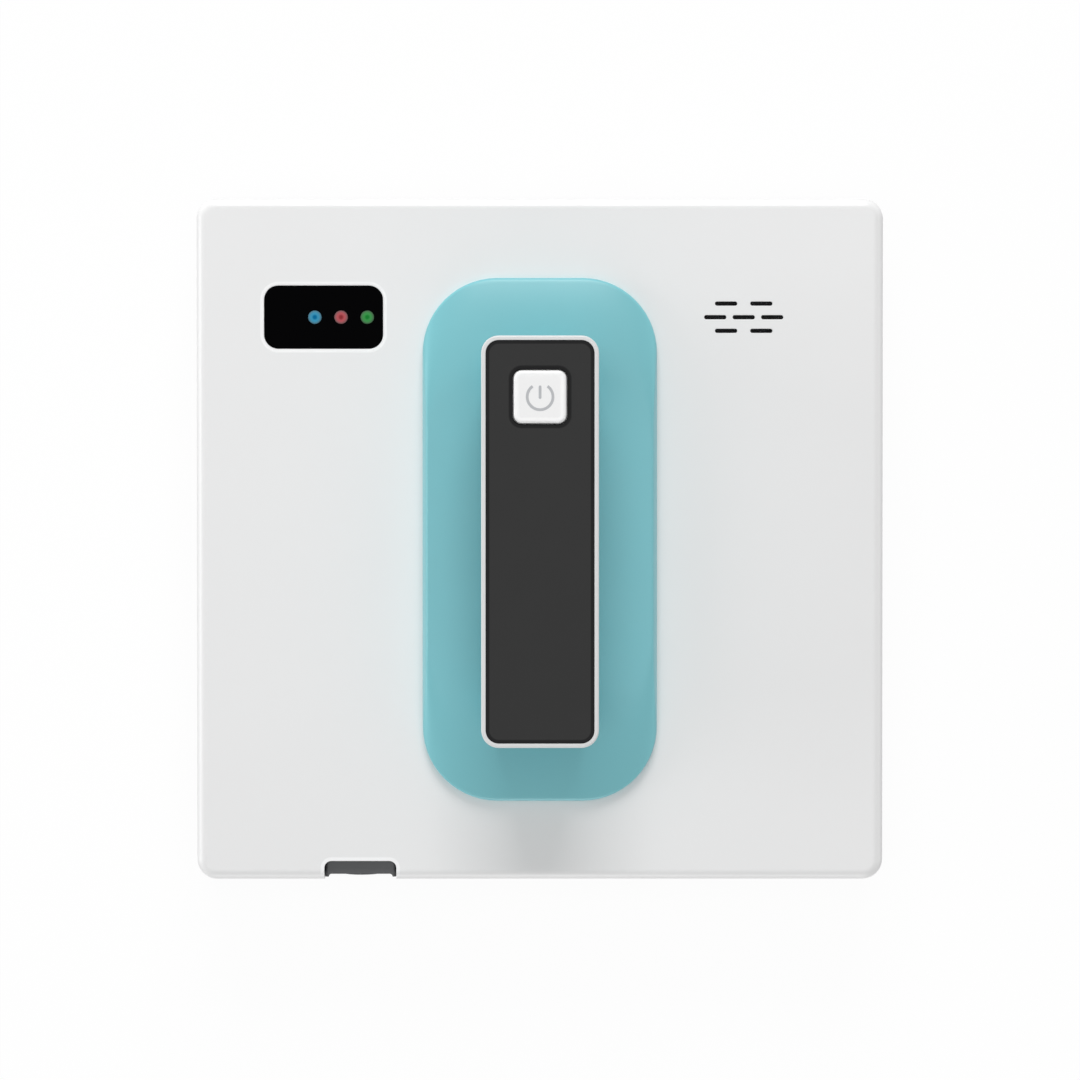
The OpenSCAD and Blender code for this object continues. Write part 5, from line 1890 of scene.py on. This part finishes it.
@dataclass
class Inlet:
    """The power inlet in its notch.

    Attributes:
        corner: Corner radius of the housing.
        edge: Radius of its rounded top edge.
        bore: Radius and depth of the jack's bore.
        mouth: How much wider the bore is at its mouth, and the depth of that mouth.
        root: Radius and depth of the hole for the pin's root.
        collar: Inner and outer radius of the collar, and how proud it stands.
        chamfer: Width of the collar's sloping edges.
        setback: How far the housing's face lies behind the foremost point of its place.
        wing: Width of the upright wings at the face's two ends, and how far they stand ahead of it.
    """

    corner: float = 2.2
    edge: float = 1.1
    bore: tuple[float, float] = (2.8, 10.0)
    mouth: float = 0.4
    root: tuple[float, float] = (1.73, 3.83)
    collar: tuple[float, float, float] = (4.6, 6.2, 0.9)
    chamfer: float = 0.2
    setback: float = 1.2
    wing: tuple[float, float] = (1.2, 1.0)

    def body(self, place: Place, face: float) -> bpy.types.Object:
        """Model the housing's block with its two wings.

        Args:
            place: Where the housing is.
            face: Where its face is along Y.

        Returns:
            The piece.
        """
        wing_w, wing_l = self.wing
        x, front = place.middle.x, face - wing_l
        ahead = front - 2 * self.corner
        length, y = place.high.y - ahead, (place.high.y + ahead) / 2
        outline = Outline(place.size.x, length, self.corner, x, y)
        block = Tiers(outline, place.low.z, place.size.z - self.edge).round_over(self.edge, 5)
        housing = settled("inlet_socket", block.bm)
        cut_off = Outline(place.size.x + 2 * OVER, 10.0, 0.0, x, front - 5.0)
        recess = Outline(place.size.x - 2 * wing_w, 2 * (wing_l + OVER), wing_l, x, front - OVER)
        for shape in (cut_off, recess):
            carve(housing, through(shape, place.low.z, place.size.z))
        return housing

    def housing(self) -> bpy.types.Object:
        """Model the housing with its collar and bore.

        Returns:
            The piece.
        """
        place = Place.of("inlet_housing")
        face = place.low.y + self.setback
        housing = self.body(place, face)
        jack = Vector((place.middle.x, face, Place.of("inlet_pin").middle.z))
        inner, outer, proud = self.collar
        slope = proud - self.chamfer
        ring = turned([(inner, -ROOT), (outer, -ROOT),
                       (outer, slope), (outer - self.chamfer, proud),
                       (inner + self.chamfer, proud), (inner, slope)], closed=True)
        carve(housing, placed(ring, jack, 90), Join.ADD)
        (radius, depth), wide = self.bore, self.bore[0] + self.mouth
        bore = turned([(0, -depth), (radius, -depth), (radius, -self.mouth), (wide, self.mouth / 2),
                       (wide, OVER), (0, OVER)])
        carve(housing, placed(bore, jack, 90))
        pin_r, pin_l = self.root
        carve(housing, placed(cylinder(pin_r, -depth - pin_l, -depth + OVER), jack, 90))
        return smooth(housing)

    def build(self) -> None:
        """Model the housing and dress the pin."""
        grey = Plastic("inlet_grey", (80, 81, 83), 0.45, 1500.0, 0.01, drift=0.06, scuff_highlight=1.12,
                       patchy=0.03)
        hand_over(self.housing(), Kit("robot", "inlet_grey", ("inlet_housing",)), grey)
        dress(Metal("jack_pin", (205, 200, 186), Grain.ALONG, 0.2), "inlet_pin")


@dataclass
class CleaningFace:
    """The microfibre pad with its hook strips, and what shows beside it from below.

    Attributes:
        corner: Corner radius of the pad.
        inner: Length and corner radius of the pad's inner edge.
        beside: How far that edge is from the frame of a track.
        holes: Where the holes for the edge probes are, from the middle.
        hole: Radius of those holes.
        voxel: Size of the pile's mesh in millimetres.
        channel: Distance of the sewn channel from the pad's outer edge, its half width and depth.
        tuft: Height by which the tufts differ, and which the plain form leaves free for them.
        short: How much less high the plain form is than the pad.
        tuft_sizes: Sizes of the small and the large tufts.
        large_share: Height of the large tufts for a height of one of the small ones.
        glass_side: Where a surface faces the glass: its normal's share along Z is below this.
        clear: What the pile keeps clear of the glass and of the chassis.
    """

    corner: float = 6.0
    inner: tuple[float, float] = (174.0, 10.0)
    beside: float = 12.4
    holes: tuple[float, float] = (100.0, 99.0)
    hole: float = 6.5
    voxel: float = 1.0
    channel: tuple[float, float, float] = (5.0, 1.1, 0.55)
    tuft: float = 0.35
    short: float = 0.4
    tuft_sizes: tuple[float, float] = (2.3, 5.5)
    large_share: float = 0.6
    glass_side: float = -0.3
    clear: tuple[float, float] = (0.02, 0.03)

    def ring(self) -> bpy.types.Object:
        """Model the pad's plain form, meshed evenly for its pile.

        Returns:
            The piece.
        """
        place = Place.of("cleaning_pad")
        outline = Outline(place.size.x, place.size.y, self.corner, arc=6).grown(-self.tuft)
        block = Tiers(outline, place.low.z + self.tuft, place.size.z - self.short)
        pad = settled("microfibre_pad", block.bm)
        length, corner = self.inner
        inner = Outline(2 * (Place.of("right_track_frame").high.x + self.beside), length, corner)
        x, y = self.holes
        cuts = [through(inner.grown(self.tuft), place.low.z, place.size.z)]
        low, high = place.low.z - OVER, place.high.z + OVER
        cuts += [cylinder(self.hole + self.tuft, low, high, i * x, j * y)
                 for i in (-1, 1) for j in (-1, 1)]
        carve(pad, together(*cuts))
        remesh = pad.modifiers.new("even mesh", "REMESH")
        remesh.mode = "VOXEL"
        remesh.voxel_size = self.voxel * MM
        return applied(pad)

    def pile(self, pad: bpy.types.Object) -> bpy.types.Object:
        """Raise tufts on the pad and draw in its seams.

        Args:
            pad: The evenly meshed pad.

        Returns:
            The pad.
        """
        place = Place.of("cleaning_pad")
        bm = bmesh.new()
        bm.from_mesh(pad.data)
        bmesh.ops.smooth_vert(bm, verts=bm.verts, factor=0.5, use_axis_x=True, use_axis_y=True,
                              use_axis_z=True)
        bm.normal_update()
        for vert in bm.verts:
            self.lift(vert, place)
        bm.to_mesh(pad.data)
        bm.free()
        pad.data.shade_smooth()
        return pad

    def lift(self, vert: BMVert, place: Place) -> None:
        """Move one vertex of the pile to the tip of its tuft, inside the pad's place.

        Args:
            vert: The vertex.
            place: The pad's place.
        """
        at = vert.co / MM
        small, large = self.tuft_sizes
        tuft = noise.noise(at / small)
        tuft += self.large_share * noise.noise(at / large + Vector((40, 7, 3)))
        to_edge = min(place.size.x / 2 - abs(at.x), place.size.y / 2 - abs(at.y))
        middle, half, depth = self.channel
        sewn = max(0.0, 1 - abs(to_edge - middle) / half)
        sunk = depth * sewn if vert.normal.z < self.glass_side else 0.0
        at += vert.normal * (self.tuft * tuft / 2 - sunk)
        low, high = self.clear
        at.z = min(max(at.z, place.low.z + low), place.high.z - high)
        at.x = min(max(at.x, place.low.x), place.high.x)
        at.y = min(max(at.y, place.low.y), place.high.y)
        vert.co = at * MM

    def build(self) -> None:
        """Model the pad, and dress the nodes of the cleaning face."""
        pad = self.pile(self.ring())
        fibre = Microfibre("microfibre", (206, 214, 222), (140, 152, 168))
        hand_over(pad, Kit("robot", "microfibre", ("cleaning_pad",)), fibre)
        dress(Microfibre("hook_tape", (46, 46, 50), (20, 20, 22), 900.0, 0.3), "hook_strips")
        dress(Plastic("grille_grey", (88, 90, 94), 0.5, 1400.0, 0.02, drift=0.08), "intake_grille")
        places = [f"{end}_{side}" for end in ("front", "rear") for side in ("left", "right")]
        dress(Plastic("probe_white", (226, 226, 222), 0.3, drift=0.03, depth=0.004),
              *[f"probe_{place}" for place in places])
        dress(Metal("spring_steel", (170, 172, 176), Grain.ACROSS, 0.25),
              *[f"spring_{place}" for place in places])
        dress(Plastic("cap_grey", (70, 72, 75), 0.5, 1300.0, 0.02, drift=0.08), "probe_caps")
        dress(Plastic("switch_black", (28, 28, 30), 0.4, drift=0.1), "probe_switches")


class Tracks:
    """The two track units that carry the robot over the glass."""

    def dress_side(self, side: str) -> None:
        """Dress the nodes of one unit.

        Args:
            side: The side that it is on, "left" or "right".
        """
        dress(Plastic("belt_rubber", (34, 35, 37), 0.75, 2200.0, 0.05, drift=0.2, specular=0.25,
                      scuff_highlight=1.5), f"{side}_track_belt")
        dress(Plastic("track_frame_dark", (56, 58, 61), 0.5, 1300.0, 0.02, drift=0.08),
              f"{side}_track_frame")
        dress(Plastic("wheel_grey", (112, 117, 124), 0.42, 1500.0, 0.01, drift=0.06, scuff_highlight=1.15),
              f"{side}_drive_wheel", f"{side}_idler_wheel")
        dress(Metal("axle_steel", (178, 180, 184), Grain.ACROSS, 0.22),
              f"{side}_drive_axle", f"{side}_idler_axle")
        dress(Metal("pinion_brass", (196, 164, 96), Grain.ACROSS, 0.3), f"{side}_pinion")
        dress(Metal("motor_case", (150, 152, 156), Grain.ACROSS, 0.34), f"{side}_gearmotor")

    def build(self) -> None:
        """Dress both units."""
        for side in ("left", "right"):
            self.dress_side(side)


class Inside:
    """What the closed casing hides: fan, battery, boards, speaker and screws."""

    def build(self) -> None:
        """Dress the nodes inside."""
        dress(Plastic("duct_grey", (126, 129, 134), 0.5, 1400.0, 0.02, drift=0.06),
              "volute_base", "volute_cover")
        dress(Plastic("fan_white", (228, 230, 232), 0.35, drift=0.03), "fan_impeller")
        dress(Metal("fan_steel", (176, 178, 182), Grain.UPRIGHT, 0.22), "fan_shaft")
        dress(Metal("fan_can", (146, 149, 154), Grain.UPRIGHT, 0.34), "fan_motor")
        dress(Plastic("tray_black", (36, 37, 39), 0.5, 1400.0, 0.02, drift=0.1), "battery_tray")
        dress(Plastic("cell_wrap", (40, 92, 168), 0.25, 700.0, 0.004, drift=0.08, coat=0.4),
              "battery_cells")
        dress(Board("board_green", (18, 84, 50), (30, 112, 66), (206, 196, 150)),
              "main_board", "indicator_board", "switch_board")
        dress(Plastic("chip_black", (26, 26, 28), 0.45, 2400.0, 0.01, drift=0.15), "board_parts")
        dress(Plastic("speaker_body", (46, 47, 49), 0.5, 1300.0, 0.02, drift=0.1), "speaker")
        dress(WovenMesh("speaker_mesh", (38, 38, 40), (6, 6, 7)), "speaker_mesh")
        dress(Metal("screw_steel", (168, 170, 174), Grain.UPRIGHT, 0.3),
              "case_screws", "handle_screws", "inner_screws")


# Studio

LIT = Vector((0, 0, 0.05))  # the point that the lamps are turned to, in metres


@dataclass(frozen=True)
class Lamp:
    """A square soft lamp that points at the robot.

    Attributes:
        name: Its name.
        azimuth: Where it stands, in degrees from +Y towards +X.
        height: Its angle above the horizon in degrees, negative below the floor.
        distance: How far it is from the robot, in metres.
        size: Its side in metres.
        level: The share that it adds to a surface facing up, or down for a lamp below the floor.
    """

    name: str
    azimuth: float
    height: float
    distance: float
    size: float
    level: float

    def hang(self) -> None:
        """Place the lamp in the scene."""
        light = bpy.data.lights.new(self.name, "AREA")
        light.shape = "SQUARE"
        light.size = self.size
        up = math.sin(math.radians(self.height))
        light.energy = self.level * math.pi ** 2 * self.distance ** 2 / abs(up)
        flat, turn = math.cos(math.radians(self.height)), math.radians(self.azimuth)
        away = Vector((math.sin(turn) * flat, math.cos(turn) * flat, up))
        lamp = bpy.data.objects.new(self.name, light)
        lamp.location = away * self.distance + LIT
        lamp.rotation_mode = "QUATERNION"
        lamp.rotation_quaternion = away.to_track_quat("Z", "Y")
        bpy.context.scene.collection.objects.link(lamp)


@dataclass
class Studio:
    """The floor, the lamps, the sky and the camera.

    Attributes:
        ambient: Level of the even light from all round.
        floor_size: Side of the floor in metres.
        shadow: Share of the floor's white that a shadow can take away.
        lens: Focal length of the camera in millimetres.
        eye: Where the camera is.
        aim: What it points at.
    """

    ambient: float = 0.42
    floor_size: float = 6.0
    shadow: float = 0.05
    lens: float = 157.16
    eye: tuple[float, float, float] = (-0.0028, 0.0292, 1.697)
    aim: tuple[float, float, float] = (0.00006, -0.0002, 0.05)

    def seen(self, wiring: Wiring) -> bpy.types.NodeSocket:
        """Find the rays that show the background: those of the eye, of gloss and of glass.

        Args:
            wiring: The wiring of the material or the world.

        Returns:
            The socket of their mask.
        """
        path = wiring.add("LightPath")
        glossy = wiring.math("MAXIMUM", path.outputs["Is Glossy Ray"],
                             path.outputs["Is Transmission Ray"])
        return wiring.math("MAXIMUM", path.outputs["Is Camera Ray"], glossy)

    def sky(self) -> None:
        """Make the even light, and the white that eyes and reflections see."""
        world = bpy.data.worlds.new("studio_white")
        world.use_nodes = True
        wiring = Wiring(world.node_tree)
        light = wiring.add("Background")
        light.inputs["Color"].default_value = (1, 1, 1, 1)
        level = wiring.math("MULTIPLY", self.seen(wiring), 1 - self.ambient)
        wiring.join(wiring.math("ADD", level, self.ambient), light.inputs["Strength"])
        wiring.join(light.outputs[0], wiring.add("OutputWorld").inputs[0])
        bpy.context.scene.world = world

    def floor(self) -> None:
        """Make the pale floor, which keeps a faint shadow of the robot."""
        bm = bmesh.new()
        bmesh.ops.create_grid(bm, x_segments=1, y_segments=1, size=self.floor_size / 2 / MM)
        floor = settled("studio_floor", bm)
        if floor.data.polygons[0].normal.z < 0:
            floor.data.flip_normals()
        material = bpy.data.materials.new("floor_white")
        material.use_nodes = True
        wiring = Wiring(material.node_tree)
        glow, matt = wiring.add("Emission"), wiring.add("BsdfDiffuse")
        for node in (glow, matt):
            set_constants(node, Color=(1, 1, 1, 1))
        clear = wiring.add("BsdfTransparent")
        lit, below = wiring.add("MixShader"), wiring.add("MixShader")
        share = wiring.math("MULTIPLY", self.seen(wiring), 1 - self.shadow)
        wiring.join(share, lit.inputs[0])
        wiring.join(matt.outputs[0], lit.inputs[1])
        wiring.join(glow.outputs[0], lit.inputs[2])
        wiring.join(wiring.add("NewGeometry").outputs["Backfacing"], below.inputs[0])
        wiring.join(lit.outputs[0], below.inputs[1])
        wiring.join(clear.outputs[0], below.inputs[2])
        wiring.join(below.outputs[0], wiring.add("OutputMaterial").inputs[0])
        floor.data.materials.append(material)
        floor.visible_diffuse = False
        floor.visible_shadow = False

    def camera(self) -> None:
        """Place the camera above the robot, with +Y at the top of its picture."""
        data = bpy.data.cameras.new("camera")
        data.lens = self.lens
        data.sensor_width = 36.0
        data.clip_start = 0.05
        eye, back = Vector(self.eye), (Vector(self.eye) - Vector(self.aim)).normalized()
        right = Vector((0, 1, 0)).cross(back).normalized()
        up = back.cross(right)
        camera = bpy.data.objects.new("camera", data)
        turn = Matrix((right, up, back)).transposed().to_4x4()
        camera.matrix_world = Matrix.Translation(eye) @ turn
        bpy.context.scene.collection.objects.link(camera)
        bpy.context.scene.camera = camera

    def build(self) -> None:
        """Set up the studio."""
        bpy.context.scene.view_settings.view_transform = "Standard"
        self.camera()
        self.sky()
        self.floor()
        for lamp in (
            Lamp("key", 0, 35, 3.0, 1.5, 0.33),
            Lamp("overhead", 0, 89, 2.4, 1.6, 0.10),
            Lamp("fill_foot", 180, 8, 3.0, 1.5, 0.032),
            Lamp("fill_left", -90, 10, 3.0, 1.5, 0.045),
            Lamp("below", 0, -89, 2.0, 1.6, 0.45),
        ):
            lamp.hang()
            LOG.info("lamp %s at level %.2f", lamp.name, lamp.level)


def main() -> None:
    """Build the robot round its frame and set up the studio."""
    logging.basicConfig(level=logging.INFO, format="%(message)s")
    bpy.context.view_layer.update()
    for make in (make_moulded_grain, make_edge_scuff_highlight, make_drawn_lines, make_textile_loops,
                 make_woven_mesh, make_board_traces, make_painted_band):
        make()
    Studio().build()
    for section in (Casing(), Handle(), PowerButton(), Indicator(), Inlet(), CleaningFace(),
                    Tracks(), Inside()):
        section.build()
        LOG.info("%s done", type(section).__name__)


if __name__ == "__main__":
    main()
